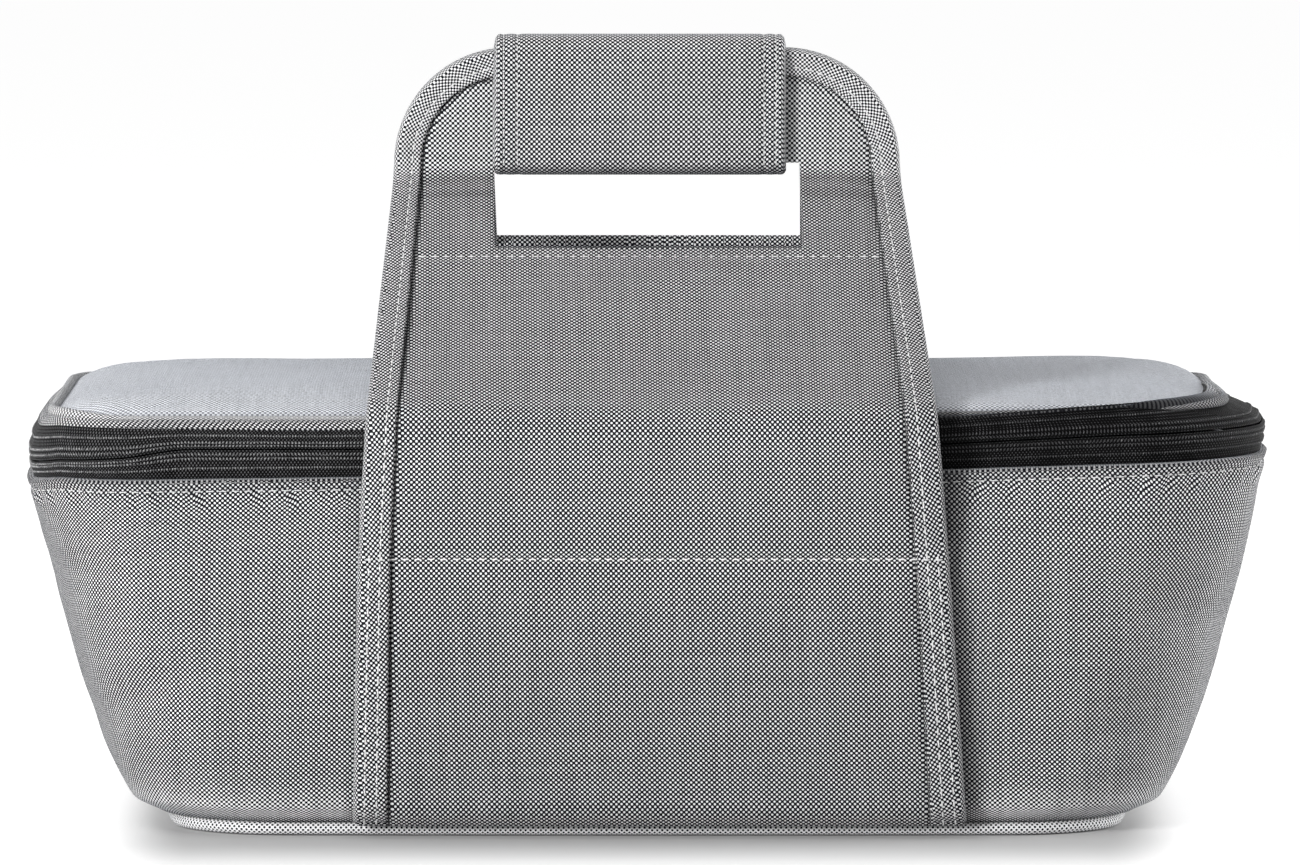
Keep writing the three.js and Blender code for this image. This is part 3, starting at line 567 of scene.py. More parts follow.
wall_out -= HEM_DRAW * hump(wall_z, HEM_STITCH, 1.1)
wall_out += HEM_ROLL * smooth(wall_z, HEM_STITCH, HEM_STITCH + 3)
for row, flat_out in zip(wall_grid, wall_out):
    row[:, :2] += outward(row[:, :2]) * flat_out[:, None]
wall_grid = tilted(wall_grid)

# Painted shade on the wall: along the hem stitches and in its puckers, as a painted shadow of the handle
# panel beside its edges (wider on the right, away from the light), and at the turned foot and the rim.
# Painted light at the foot shows more white yarn there.
hem_painted_shade = 0.5 * hump(wall_z, HEM_STITCH, 0.9) * (0.6 + 0.4 * np.tanh(pucker)[None])
panel_edge_painted_shadow = np.where(wall_x > 0, 0.75 * np.exp(-np.abs(beyond) / 3.2), 0.4 * np.exp(-np.abs(beyond) / 1.6))
wall_edge_painted_shade = 0.5 * (1 - smooth(wall_z, FOOT[0], FOOT[0] + 2))
wall_edge_painted_shade += 0.35 * smooth(wall_z, RIM[0] - 0.2, RIM[0] + 0.5)
foot_painted_light = -0.23 * (1 - smooth(wall_z, 8, 22))
wall_painted_shading = np.clip(hem_painted_shade + panel_edge_painted_shadow + wall_edge_painted_shade + foot_painted_light, -0.3, 0.9)
tub_wall = cloth("tub_wall", wall_grid, wall_cut, weave, around=True, painted_shading=wall_painted_shading)
wall_sewn = np.max([1 - smooth(beyond, 0, 5), hump(wall_z, HEM_STITCH, 1.5), 1 - smooth(wall_z, 6, 12),
                    smooth(wall_z, HEM_STITCH, HEM_STITCH + 2)], axis=0)
settle(tub_wall, wall_sewn.ravel(), pressure=0.6, limit=2.2)
finish_mesh(tub_wall, WALL_FABRIC)
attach(tub_wall, "tub")
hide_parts("tub_shell", "tub_foam")


# Base: a flat fabric panel with its board above it, and a fabric-covered cord sewn round its edge. The
# cord stands out a little past the foot of the wall.
BASE_HALF = (166.0, 110.0)
BASE_CORNER = 32.0
BASE_FABRIC = 1.5
PIPING_RADIUS = 2.3
PIPING_REACH = 2.6
PIPING_SIDES = 12


def dish(name, rings, material, painted_shading=None):
    """A sheet over closed rings of equal count, closed by a fan at the last one."""
    grid = np.array(rings)
    rows, columns = grid.shape[:2]
    spread = closed(grid)[..., :2]
    middle = grid[-1].mean(0)
    faces, corners = quads(grid, spread, around=True)
    last = (rows - 1) * columns
    for c in range(columns):
        faces.append((last + c, last + (c + 1) % columns, rows * columns))
        corners += [spread[-1, c], spread[-1, c + 1], middle[:2]]
    if painted_shading is not None:
        painted_shading = np.append(painted_shading.ravel(), 0)
    return piece(name, np.vstack([grid.reshape(-1, 3), middle]), faces, corners, material, painted_shading)


def cord_round(name, flat, radius, heights, material, painted_shading=0.0):
    """A round cord along a closed plan, covered in cloth. Its radius may change along the way."""
    count = len(flat)
    again = np.arange(count + 1) % count
    flat, out = flat[again], outward(flat)[again]
    radius, heights, painted_shading = (np.broadcast_to(value, count)[again, None] for value in (radius, heights, painted_shading))
    turn = 2 * np.pi * np.arange(PIPING_SIDES + 1) / PIPING_SIDES
    cosine, sine = np.cos(turn[:-1]), np.sin(turn[:-1])
    grid = np.dstack([flat[:, None] + out[:, None] * (radius * cosine)[..., None], heights + radius * sine])
    cut = flat_cut(radius.max() * turn, run_length(flat))
    return cloth(name, grid, cut, material, around=True, painted_shading=np.broadcast_to(painted_shading, grid.shape[:2]))


base_rings = []
for inset in (0, 6, 20, 45, 75, 100):
    flat = soft_ring(BASE_HALF[0] - inset, BASE_HALF[1] - inset, max(BASE_CORNER - inset, 8), FOOT_SOFTNESS)
    base_rings.append(at_height(flat, BASE_FABRIC))
base_sheet = dish("base_sheet", base_rings, weave)
finish_mesh(base_sheet, BASE_FABRIC)
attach(base_sheet, "tub")
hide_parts("base_panel")

piping_plan = soft_ring(BASE_HALF[0] + PIPING_REACH, BASE_HALF[1] + PIPING_REACH,
                        BASE_CORNER + PIPING_REACH, FOOT_SOFTNESS)
# The cord's weave shows more white yarn than the wall's: painted light for the cord where it lies in the
# shade of the wall and the panel.
cord_weave_painted_light = weave_material("cord_weave_painted_light", -0.16)
base_cord = cord_round("base_cord", piping_plan, PIPING_RADIUS, PIPING_REACH, cord_weave_painted_light)
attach(base_cord, "tub")
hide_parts("base_piping")


def fibre_material(name, low, high, scale, roughness, bump_depth, metallic=0.0, sheen=0.0):
    """A plain material whose colour and height follow fine uneven grain."""
    t, place = blank_material(name)
    grain = t.noise(place, scale, 4.0)
    broad = t.noise(place, scale / 12, 2.0)
    level = t.math("ADD", t.math("MULTIPLY", grain, 0.6), t.math("MULTIPLY", broad, 0.4))
    colour = t.mix(t.ramp(level, 0.35, 0.65), low, high)
    rough = t.ramp(level, 0.3, 0.7, roughness - 0.08, roughness + 0.08)
    return t.surface(colour, rough, grain, 0.6, bump_depth, Metallic=metallic, Sheen_Weight=sheen)


def dress(node, material):
    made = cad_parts[node]
    made.data.materials.clear()
    made.data.materials.append(material)


board = fibre_material("board", (0.05, 0.05, 0.055, 1), (0.09, 0.09, 0.095, 1), 500, 0.6, 0.1 * MM)
dress("base_board", board)


# Lining and rim: a silver insulating bucket inside the foam, and a fabric facing that covers the rim
# between the wall and the lining.
LINING_INSET = 7.8
LINING = 0.8
LINING_FLOOR = 12.6
FLOOR_TURN = ((1.5, 2.4), (4, 0.8), (10, 0.2), (40, 0), (80, 0))
STRIP_FABRIC = 0.9
FACING_WIDTH = 8.4
FACING_TOP = RIM[0] + 1.5
FACING_ROWS = ((0.0, -1.0), (0.02, -0.2), (0.1, 0.0), (0.35, 0.1), (0.65, 0.1), (0.9, 0.0), (1.0, -0.6))


def foil_material():
    """Crinkled silver film bonded to a soft backing."""
    t, place = blank_material("silver_lining")
    crinkle = t.node("ShaderNodeTexVoronoi", {"Vector": place, "Scale": 95.0}, feature="F1")
    fine = t.noise(place, 240.0, 4.0)
    level = t.math("ADD", t.math("MULTIPLY", crinkle, 0.7), t.math("MULTIPLY", fine, 0.5))
    colour = t.mix(t.ramp(level, 0.2, 0.8), (0.3, 0.305, 0.318, 1), (0.43, 0.435, 0.45, 1))
    return t.surface(colour, t.ramp(fine, 0.3, 0.7, 0.36, 0.52), level, 0.35, 0.6 * MM, Metallic=0.6)


foil = foil_material()
lining_rings = []
for z in np.linspace(RIM[0], LINING_FLOOR + 4, 26):
    flat = wall_ring(z, LINING_INSET)
    soft = 0.5 * smooth(z, 16, 40) * (1 - smooth(z, 100, 118))
    flat = flat + outward(flat) * (soft * ripple(at_height(flat, z), 70, 5))[:, None]
    lining_rings.append(tilted(at_height(flat, z)))
flat = wall_ring(LINING_FLOOR + 4, LINING_INSET)
for inset, rise in FLOOR_TURN:
    lining_rings.append(at_height(flat * (1 - inset / 110), LINING_FLOOR + rise))
tub_lining = dish("tub_liner", lining_rings, foil)
finish_mesh(tub_lining, LINING)
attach(tub_lining, "tub")
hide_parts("tub_lining")

facing_step = np.array([share for share, _ in FACING_ROWS]) * FACING_WIDTH
facing_rows = [at_height(wall_ring(RIM[0], step), FACING_TOP + rise)
               for step, (_, rise) in zip(facing_step, FACING_ROWS)]
facing_grid = tilted(np.array(facing_rows))
facing_cut = flat_cut(round_length(wall_ring(RIM[0])), facing_step)
# Painted shade along the facing's outer edge, where it meets the wall.
facing_painted_shading = np.where(facing_step < 0.3, 0.5, 0.0)[:, None] * np.ones(facing_grid.shape[1])
rim_facing = cloth("rim_binding", facing_grid, facing_cut, weave, around=True, painted_shading=facing_painted_shading)
finish_mesh(rim_facing, STRIP_FABRIC)
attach(rim_facing, "tub")
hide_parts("rim_facing")


# Stitch rows: thread beads set along sewn lines by Geometry Nodes, here first for the hem under the zip.
# The same nodes, with upright beads, make the zip's ribs and coils.
STITCH_PITCH = 4.4
STITCH_LENGTH = 3.0
THREAD_RADIUS = 0.3
HEM_THREAD = 0.2
FADE_REACH = (-0.16, 0.12)


def bead_group(name, upright):
    """Geometry Nodes that set one bead at each pitch along lines, lengthwise or upright."""
    group = bpy.data.node_groups.new(name, "GeometryNodeTree")
    group.interface.new_socket("Lines", in_out="INPUT", socket_type="NodeSocketGeometry")
    for label in ("Pitch", "Length", "Radius"):
        group.interface.new_socket(label, in_out="INPUT", socket_type="NodeSocketFloat")
    group.interface.new_socket("Thread", in_out="INPUT", socket_type="NodeSocketMaterial")
    group.interface.new_socket("Beads", in_out="OUTPUT", socket_type="NodeSocketGeometry")
    t = Tree(group)
    given = t.node("NodeGroupInput").outputs
    curve = t.node("GeometryNodeMeshToCurve", {0: given["Lines"]})
    even = t.node("GeometryNodeResampleCurve", {"Curve": curve, "Length": given["Pitch"]}, mode="LENGTH")
    ball = t.node("GeometryNodeMeshUVSphere", {"Segments": 6, "Rings": 4, "Radius": 1.0})
    bead = t.node("GeometryNodeSetShadeSmooth", {"Geometry": ball})
    half = t.math("MULTIPLY", given["Length"], 0.5)
    scale = t.node("ShaderNodeCombineXYZ", {0: given["Radius"], 1: given["Radius"], 2: half})
    settings = {"Points": even, "Instance": bead, "Scale": scale}
    if not upright:
        tangent = t.node("GeometryNodeInputTangent")
        settings["Rotation"] = t.node("FunctionNodeAlignRotationToVector", {"Vector": tangent}, axis="Z")
    rows = t.node("GeometryNodeInstanceOnPoints", settings)
    real = t.node("GeometryNodeRealizeInstances", {0: rows})
    done = t.node("GeometryNodeSetMaterial", {"Geometry": real, "Material": given["Thread"]})
    t.node("NodeGroupOutput", {"Beads": done})
    return group


stitch_group = bead_group("stitch_row", upright=False)
rib_group = bead_group("rib_row", upright=True)


def beads(name, lines, group, material, pitch, length, radius):
    """Beads along lines of points in millimetres, kept as one plain mesh."""
    points = np.vstack(lines)
    edges, first = [], 0
    for line in lines:
        edges += [(first + i, first + i + 1) for i in range(len(line) - 1)]
        first += len(line)
    mesh = bpy.data.meshes.new(name)
    mesh.from_pydata((points * MM).tolist(), edges, [])
    made = add_object(name, mesh)
    nodes = made.modifiers.new("beads", "NODES")
    nodes.node_group = group
    values = {"Pitch": pitch * MM, "Length": length * MM, "Radius": radius * MM, "Thread": material}
    for item in group.interface.items_tree:
        if item.in_out == "INPUT" and item.name in values:
            nodes[item.identifier] = values[item.name]
    return finish_mesh(made)


def painted_shade_rightward(t, place, fade):
    """Painted shade for light from the left: grows from zero at the left end to a fade at the right one."""
    return t.ramp(t.node("ShaderNodeSeparateXYZ", {0: place}), *FADE_REACH, 0.0, fade)


def thread_material(name, low, high, fade=0.0):
    """Twisted thread. A fade takes its lighter colour away towards the right end, as painted shade for light
    from the left.
    """
    t, place = blank_material(name)
    twist = t.noise(place, 1500.0)
    level = t.math("SUBTRACT", twist, painted_shade_rightward(t, place, fade)) if fade else twist
    colour = t.mix(t.ramp(level, 0.3, 0.7), low, high)
    return t.surface(colour, t.ramp(twist, 0.3, 0.7, 0.5, 0.7), twist, 0.4, 0.1 * MM)


white_thread = thread_material("white_thread", (0.66, 0.66, 0.66, 1), (0.86, 0.86, 0.86, 1))
black_thread = thread_material("black_thread", (0.02, 0.02, 0.022, 1), (0.06, 0.06, 0.065, 1))


def sew(name, lines, pitch=STITCH_PITCH, length=STITCH_LENGTH, radius=THREAD_RADIUS):
    return beads(name, lines, stitch_group, white_thread, pitch, length, radius)


hem_line = wall_grid[np.argmin(np.abs(wall_heights - HEM_STITCH))].copy()
hem_line[:, :2] += outward(hem_line[:, :2]) * 0.1
hem_stitches = sew("hem_stitches", [np.vstack([hem_line, hem_line[:1]])], radius=HEM_THREAD)
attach(hem_stitches, "tub")


# Zip: two black ribbed tapes, sewn to the rim and to the lid, with a nylon coil behind each, two enamelled
# sliders with pulls, and end stops at the rear corners beside the hinge tape.
ZIP_HALF = (217.8, 113.5)
ZIP_LEAN = (0.006, 0.045)
ZIP_MIDDLE = 134.6
ZIP_SPAN = 8.2
ZIP_BOW = 1.2
SEAM_GAP = 0.25
SEAM_RISE = (-2.6, 1.8)
SEAM_LEVEL = 0.3
UPPER_ROOM = (1.8, 4.6)
COIL_PLACE = (1.4, -2.15, 0.0)
COIL_BEAD = (1.2, 1.7, 0.52)
TAPE = 1.0
REAR_POINTS = FRONT_POINTS // 2
HINGE_REACH = 166.0
TAPE_KNIT = (0.62 * MM, 0.7 * MM)
ZIP_RIBS = (("inner_rib", 1.4, 1.2, 0.8, 0.34), ("ladder", 2.7, 1.2, 0.9, 0.36),
            ("edge_rib", 5.4, 0.95, 0.8, 0.3))


def tape_material():
    """Black zip tape with fine ribs across it and a dull nylon sheen. Its colour darkens towards the right
    end, as painted shade for light from the left.
    """
    t, place = blank_material("zip_tape")
    knit = t.waves(t.node("ShaderNodeUVMap", uv_map="cut"), TAPE_KNIT)
    wear = t.noise(place, 180.0, 3.0)
    level = t.math("SUBTRACT", t.math("ADD", knit, t.math("MULTIPLY", wear, 0.8)), painted_shade_rightward(t, place, 0.4))
    colour = t.mix(t.ramp(level, 0.5, 1.2), (0.001, 0.001, 0.0012, 1), (0.12, 0.12, 0.125, 1))
    rough = t.ramp(wear, 0.3, 0.7, 0.5, 0.66)
    return t.surface(colour, rough, knit, 0.7, 0.16 * MM, Specular_IOR_Level=0.05)


tape_black = tape_material()
# The ribs' pale colour is a painted glint of the light from the left on black thread, fading to the right as
# painted shade.
rib_thread_painted_glint = thread_material("zip_rib_painted_glint", (0.02, 0.02, 0.022, 1), (0.42, 0.42, 0.425, 1), 0.22)
zip_plan = ring(ZIP_HALF[0], ZIP_HALF[1], WALL_CORNER)
zip_out = outward(zip_plan)
zip_run = slice(REAR_POINTS, len(zip_plan) - REAR_POINTS + 1)
zip_x, zip_y = zip_plan.T
zip_front = 1 - smooth(zip_y, 0, 90)
seam_lean = tilted(at_height(zip_plan, ZIP_MIDDLE))[:, 2] - ZIP_MIDDLE
seam_rise = SEAM_RISE[1] * smooth(zip_x, 60, 200) + SEAM_RISE[0] * smooth(-zip_x, 158, 214)
seam_rise += (SEAM_LEVEL - seam_lean) * smooth(-zip_x, 0, 30) * (1 - smooth(-zip_x, 158, 184))
seam_height = ZIP_MIDDLE + zip_front * seam_rise
slider_run = smooth(-zip_y, 104, 113) * (1 - smooth(np.abs(zip_x), 158, 182))
upper_room = UPPER_ROOM[0] * smooth(-zip_x, 105, 200) + UPPER_ROOM[1] * smooth(zip_x, 60, 205)
upper_room *= zip_front


def zip_ring(side, away, out=0.0, bowed=ZIP_BOW):
    """The zip's plan at a distance below or above the seam. Its ends lean in above, to the shorter lid."""
    room = ZIP_SPAN - side * (seam_height - ZIP_MIDDLE) + (upper_room if side > 0 else 0)
    z = seam_height + side * away * room / ZIP_SPAN
    round_out = 1 - np.clip((z - ZIP_MIDDLE) / (ZIP_SPAN + 0.8), -1, 1) ** 2
    bow = bowed * (round_out - slider_run * (round_out + 0.5)) + out
    flat = zip_plan + zip_out * bow[:, None]
    lean = np.clip((z - ZIP_MIDDLE) / ZIP_SPAN, 0, 1.4) ** 2
    flat[:, 0] *= 1 - lean * np.where(flat[:, 0] < 0, *ZIP_LEAN)
    return tilted(at_height(flat, z))


def zip_line(side, away, out=0.0, bowed=ZIP_BOW):
    """The zip's run from the rear left corner round the front to the rear right one."""
    return zip_ring(side, away, out, bowed)[zip_run]


def tape_rib(away):
    """How far a tape's woven ribs stand out of it beside the seam."""
    return 0.3 * hump(away, 2.1, 0.8) + 0.2 * hump(away, 5.4, 0.5)


zip_length = run_length(zip_plan[zip_run])
for level_name, body, side in (("lower", "tub", -1), ("upper", "lid", 1)):
    tape_steps = np.linspace(ZIP_SPAN, SEAM_GAP, 26)[::1 if side < 0 else -1]
    tape_grid = np.array([zip_line(side, away, tape_rib(away)) for away in tape_steps])
    tape = cloth(f"tape_{level_name}", tape_grid, flat_cut(zip_length, side * tape_steps), tape_black)
    finish_mesh(tape, TAPE)
    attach(tape, body)
    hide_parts(f"zip_tape_{level_name}")
    for rib_name, away, *size in ZIP_RIBS:
        rib_line = zip_line(side, away, tape_rib(away) + 0.05)
        ribs = beads(f"{rib_name}_{level_name}", [rib_line], rib_group, rib_thread_painted_glint, *size)
        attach(ribs, body)
    coil = beads(f"coil_{level_name}", [zip_line(side, *COIL_PLACE)], rib_group, black_thread, *COIL_BEAD)
    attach(coil, body)
    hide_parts(f"zip_coil_{level_name}")

hinge_x = np.linspace(HINGE_REACH, -HINGE_REACH, 60)
hinge_z = np.linspace(ZIP_MIDDLE - ZIP_SPAN, ZIP_MIDDLE + ZIP_SPAN, 18)
hinge_out = ZIP_HALF[1] + 0.6 * (1 - ((hinge_z - ZIP_MIDDLE) / ZIP_SPAN) ** 2)
hinge_grid = tilted(np.stack(np.broadcast_arrays(hinge_x[None], hinge_out[:, None], hinge_z[:, None]), 2))
hinge = cloth("hinge_tape", hinge_grid, flat_cut(-hinge_x, hinge_z), tape_black)
finish_mesh(hinge, TAPE)
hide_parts("hinge_strip")
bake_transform(hinge)

enamel = fibre_material("black_enamel", (0.012, 0.012, 0.013, 1), (0.03, 0.03, 0.032, 1), 260, 0.34,
                        0.03 * MM, 0.4)
for end_name in ("left", "right"):
    for fitting in ("zip_slider", "zip_pull", "zip_stop"):
        dress(f"{fitting}_{end_name}", enamel)


# Lid: a crowned padded top with a fabric-covered cord sewn round its edge, a low border that holds the zip
# and a silver lining underneath.
LID_TAPER = 4.5
LID_CORD_RADIUS = (0.9, 2.0)
LID_CORD_HEIGHT = 146.2
LID_EDGE = 6.4
LID_EDGE_HEIGHT = 146.6
LID_CROWN = 7.4
LID_LEAN = (0.024, 0.052)
LID_TILT = (0.1, 0.75)
LID_CROWN_POWER = 10
LID_STEPS = (0, 0.02, 0.045, 0.075, 0.11, 0.15, 0.2, 0.26, 0.34, 0.44, 0.56, 0.7, 0.84, 0.95)
LID_TURN = ((1.4, 2.4), (0.9, 0.9))
LID_DEPTH = 6.8
LID_PAINTED_SHADE = 0.18
LID_TURN_PAINTED_SHADE = 0.85
LID_CORD_PAINTED_SHADE = 0.6
LID_BORDER_PAINTED_SHADE = 0.9


def lid_ring(inset, z):
    half_depth = ZIP_HALF[1] - inset
    corner = min(max(WALL_CORNER - inset, WALL_CORNER / 4), 0.999 * half_depth)
    flat = ring(ZIP_HALF[0] - inset, half_depth, corner)
    flat[:, 0] /= 1 - END_BOW * (flat[:, 1] / half_depth) ** 2
    flat[:, 0] *= 1 - np.where(flat[:, 0] < 0, *LID_LEAN)
    return at_height(flat, z)


def lid_tilt(points, share=1.0):
    """The lid's edge follows the zip, more at its right end than at its left one."""
    return tilted(points, share * np.interp(points[..., 0], [-40, 40], LID_TILT))


# The lid's weave is paler and bluer than the same cloth on the wall: painted sheen and top light for the lid
# seen at a grazing angle.
lid_weave_painted_sheen = weave_material("lid_weave_painted_sheen", 0.0, (0.92, 0.94, 0.985, 1), (0.14, 0.146, 0.162, 1))
lid_rings = [lid_ring(LID_EDGE - out, LID_EDGE_HEIGHT - drop) for out, drop in LID_TURN]
for step in LID_STEPS:
    inset = LID_EDGE + step * (ZIP_HALF[1] - LID_EDGE)
    lid_rings.append(lid_ring(inset, LID_EDGE_HEIGHT + LID_CROWN * (1 - (1 - step) ** LID_CROWN_POWER)))
lid_grid = np.array(lid_rings)
lid_soft = smooth(lid_grid[..., 2], LID_EDGE_HEIGHT, LID_EDGE_HEIGHT + 4)
lid_grid[..., 2] += 0.5 * lid_soft * ripple(lid_grid, 110, 21)
lid_grid = lid_tilt(lid_grid, 1 - smooth(lid_grid[..., 2], LID_EDGE_HEIGHT, LID_EDGE_HEIGHT + LID_CROWN))
# Painted shade on the lid top: darker towards its right end, away from the light, and deep on the turned
# edge where it tucks under the cord.
lid_painted_shading = LID_PAINTED_SHADE * smooth(lid_grid[..., 0], 30, 160)
lid_painted_shading[:2] = LID_TURN_PAINTED_SHADE
lid_painted_shading[2] += 0.3
lid_top = dish("lid_top", lid_grid, lid_weave_painted_sheen, painted_shading=lid_painted_shading)
lid_hold = 1 - smooth(np.arange(len(lid_grid)), 2, 4)
lid_sewn = np.append(np.repeat(lid_hold, lid_grid.shape[1]), 0)
settle(lid_top, lid_sewn, pressure=0.3, limit=1.0)
finish_mesh(lid_top, WALL_FABRIC)
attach(lid_top, "lid")
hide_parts("lid_top_panel", "lid_foam")

lid_cord_plan = lid_ring(LID_TAPER, 0)[:, :2]
cord_radius = np.interp(np.abs(lid_cord_plan[:, 0]), [186, 203], LID_CORD_RADIUS)
cord_height = LID_CORD_HEIGHT - 0.6 * (LID_CORD_RADIUS[1] - cord_radius)
cord_line = lid_tilt(at_height(lid_cord_plan, cord_height))
edge_weave = weave_material("edge_weave", 0.05)
# Painted shade on the lid cord along its right front part, away from the light.
cord_painted_shading = LID_CORD_PAINTED_SHADE * smooth(lid_cord_plan[:, 0], 50, 120) * (1 - smooth(lid_cord_plan[:, 1], -80, -40))
lid_cord = cord_round("lid_cord", lid_cord_plan, cord_radius, cord_line[:, 2], edge_weave, cord_painted_shading)
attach(lid_cord, "lid")
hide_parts("lid_piping")

border_foot = zip_ring(1, ZIP_SPAN - 0.3, 0.15)
border_top = cord_line - (0, 0, 0.6)
border_steps = np.linspace(0, 1, 6)[:, None, None]
border_grid = border_foot + border_steps * (border_top - border_foot)
border_grid[..., 2] += 0.7 * np.sin(np.pi * border_steps[..., 0])
border_cut = np.stack(np.broadcast_arrays(round_length(zip_plan), climb(border_grid)), 2)
# Painted shade on the lid border along its right front part, away from the light.
border_painted_shading = LID_BORDER_PAINTED_SHADE * smooth(zip_x, 20, 100) * (1 - smooth(zip_y, -100, -60))
border_painted_shading = np.broadcast_to(border_painted_shading, border_grid.shape[:2])
lid_border = cloth("lid_edge", border_grid, border_cut, weave, around=True, painted_shading=border_painted_shading)
finish_mesh(lid_border, STRIP_FABRIC)
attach(lid_border, "lid")
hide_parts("lid_border")

under_grid = lid_grid[2:-3].copy()
under_grid[..., 2] -= LID_DEPTH
lid_liner = dish("lid_liner", under_grid, foil)
finish_mesh(lid_liner, LINING)
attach(lid_liner, "lid")
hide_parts("lid_lining")


# Handle panels: each is one padded cloth, sewn to the wall below its stitch line and free above it, where
# it leans over the lid and turns upright at the bar. The rear one is the front one mirrored.
STACK = 4.2
HALF_STACK = STACK / 2
WALL_GAP = 0.5
PANEL_TOP_HALF = 88.9
PANEL_TOP = 268.8
ARCH_RADIUS = 40.0
BEND = (123.0, 144.1)
BEND_ROUND = 8.0
CREASE = (3.6, 222.0)
CREASE_ROUND = 6.0
OPENING_HALF = 54.5
OPENING = (198.6, 229.2)
BINDING_WIDTH = (10.4, 8.4)
UNDER_ROW = 4.6
PANEL_SWELL = 0.5
GROOVE_DEPTH = 0.7


def quadratic(a, b, c, count=14):
    t = np.linspace(0, 1, count)[:, None]
    return (1 - t) ** 2 * np.array(a) + 2 * t * (1 - t) * np.array(b) + t**2 * np.array(c)


stitch = np.array([float(wall_front(0.0, PANEL_STITCH[0])) + WALL_GAP + HALF_STACK, PANEL_STITCH[0]])
bend, crease = np.array(BEND), np.array(CREASE)
rise = unit(bend - stitch)
lean = unit(crease - bend)
bend_start = bend - BEND_ROUND * rise
side_path = np.vstack([
    quadratic(stitch, (stitch[0], (stitch[1] + bend_start[1]) / 2), bend_start),
    quadratic(bend_start, bend, bend + BEND_ROUND * lean)[1:],
    quadratic(crease - CREASE_ROUND * lean, crease, crease + (0, CREASE_ROUND)),
    [(CREASE[0], PANEL_TOP)]])
side_length = run_length(side_path)
FREE_LENGTH = side_length[-1]
ARCH_START = FREE_LENGTH - ARCH_RADIUS
FLAT_HALF = PANEL_TOP_HALF - ARCH_RADIUS
side_turn = unit(np.gradient(side_path, side_length, axis=0))
sewn_z = np.linspace(PANEL_FOOT[0], PANEL_STITCH[0], 60)
sewn_path = np.column_stack([wall_front(0.0, sewn_z), sewn_z])
sewn_v = run_length(sewn_path)
sewn_v -= sewn_v[-1]


def panel_half(v):
    """Half the panel's width at a distance along it, counted from the stitch line."""
    foot = np.interp(v, [sewn_v[0], 0], [PANEL_FOOT[1], PANEL_STITCH[1]])
    straight = np.interp(v, [0, ARCH_START], [PANEL_STITCH[1], PANEL_TOP_HALF])
    over = np.clip((v - ARCH_START) / ARCH_RADIUS, 0, 1)
    arch = PANEL_TOP_HALF - ARCH_RADIUS * (1 - np.sqrt(1 - over**2))
    return np.where(v < 0, foot, np.where(v < ARCH_START, straight, arch))


def edge_distance(x, v):
    """How far a point of the panel lies inside its outline."""
    beside = np.maximum(np.abs(x) - FLAT_HALF, 0)
    corner = ARCH_RADIUS - np.hypot(beside, np.maximum(v - ARCH_START, 0))
    return np.where(v > ARCH_START, corner, panel_half(v) - np.abs(x))


def panel_point(x, v, depth):
    """A point of the front panel: across, along and out of its middle layer. It sits a little askew."""
    x, v, depth = np.broadcast_arrays(*(np.asarray(value, float) for value in (x, v, depth)))
    x = x + np.interp(v, [sewn_v[0], 0, ARCH_START], [PANEL_SKEW[0], PANEL_SKEW[1], 0])
    z = np.interp(v, sewn_v, sewn_z)
    sewn = np.stack([x, -(wall_front(x, z) + WALL_GAP + HALF_STACK + depth), z], -1)
    s = np.clip(v, 0, FREE_LENGTH)
    out, up = (np.interp(s, side_length, side_path[:, k]) for k in (0, 1))
    turn_out, turn_up = (np.interp(s, side_length, side_turn[:, k]) for k in (0, 1))
    hold = np.clip(1 - s / (ARCH_START - CREASE_ROUND), 0, 1) ** 2
    bow = (wall_front(x, PANEL_STITCH[0]) - wall_front(0.0, PANEL_STITCH[0])) * hold
    past = v - s
    free_part = np.stack([x, -(out + bow + turn_up * depth + turn_out * past),
                          up - turn_out * depth + turn_up * past], -1)
    return np.where((v < 0)[..., None], sewn, free_part)


def binding_width(v):
    """How far the edge binding reaches over the panel, less at the arch than at its feet."""
    return np.interp(v, [sewn_v[0], ARCH_START], BINDING_WIDTH)


def along_at(z):
    """Distance along the free panel at a height."""
    return float(np.interp(z, side_path[:, 1], side_length))


opening_low, opening_high = along_at(OPENING[0]), along_at(OPENING[1])
crease_v = along_at(CREASE[1])
panel_v = spaced((sewn_v[0], 0, opening_low, opening_high, FREE_LENGTH - 0.4), (40, 52, 20, 23))
inner = np.linspace(-OPENING_HALF, OPENING_HALF, 41)
panel_x = []
for v in panel_v:
    half = float(panel_half(v))
    edge = min(OPENING_HALF, half - 0.5)
    near = max(half - 15, edge + 0.25)
    wing = spaced((edge, near, half), (11, 16))[1:]
    panel_x.append(np.concatenate([-wing[::-1], inner * edge / OPENING_HALF, wing]))
panel_x = np.array(panel_x)
row_v = np.broadcast_to(panel_v[:, None], panel_x.shape)
open_part = edge_distance(panel_x, row_v) - binding_width(row_v)
groove = hump(open_part, 0.7, 0.8)
calm = smooth(panel_v, 4, 30) * (1 - hump(panel_v, opening_low, 16))
panel_cut = np.stack([panel_x, row_v], 2)
panel_wave = PANEL_SWELL * ripple(panel_cut, 80, 31) * calm[:, None]
panel_wave += PANEL_SWELL * smooth(open_part, 1, 9) - GROOVE_DEPTH * groove
panel_wave -= 0.5 * hump(row_v, 0, 1.2) + 0.4 * hump(row_v, opening_low - UNDER_ROW, 1.2)
panel_grid = panel_point(panel_x, row_v, panel_wave)
middle_v = (panel_v[:-1] + panel_v[1:]) / 2
middle_x = (panel_x[:-1, :-1] + panel_x[:-1, 1:]) / 2
in_rows = (middle_v > opening_low) & (middle_v < opening_high)
in_opening = in_rows[:, None] & (np.abs(middle_x) < OPENING_HALF)
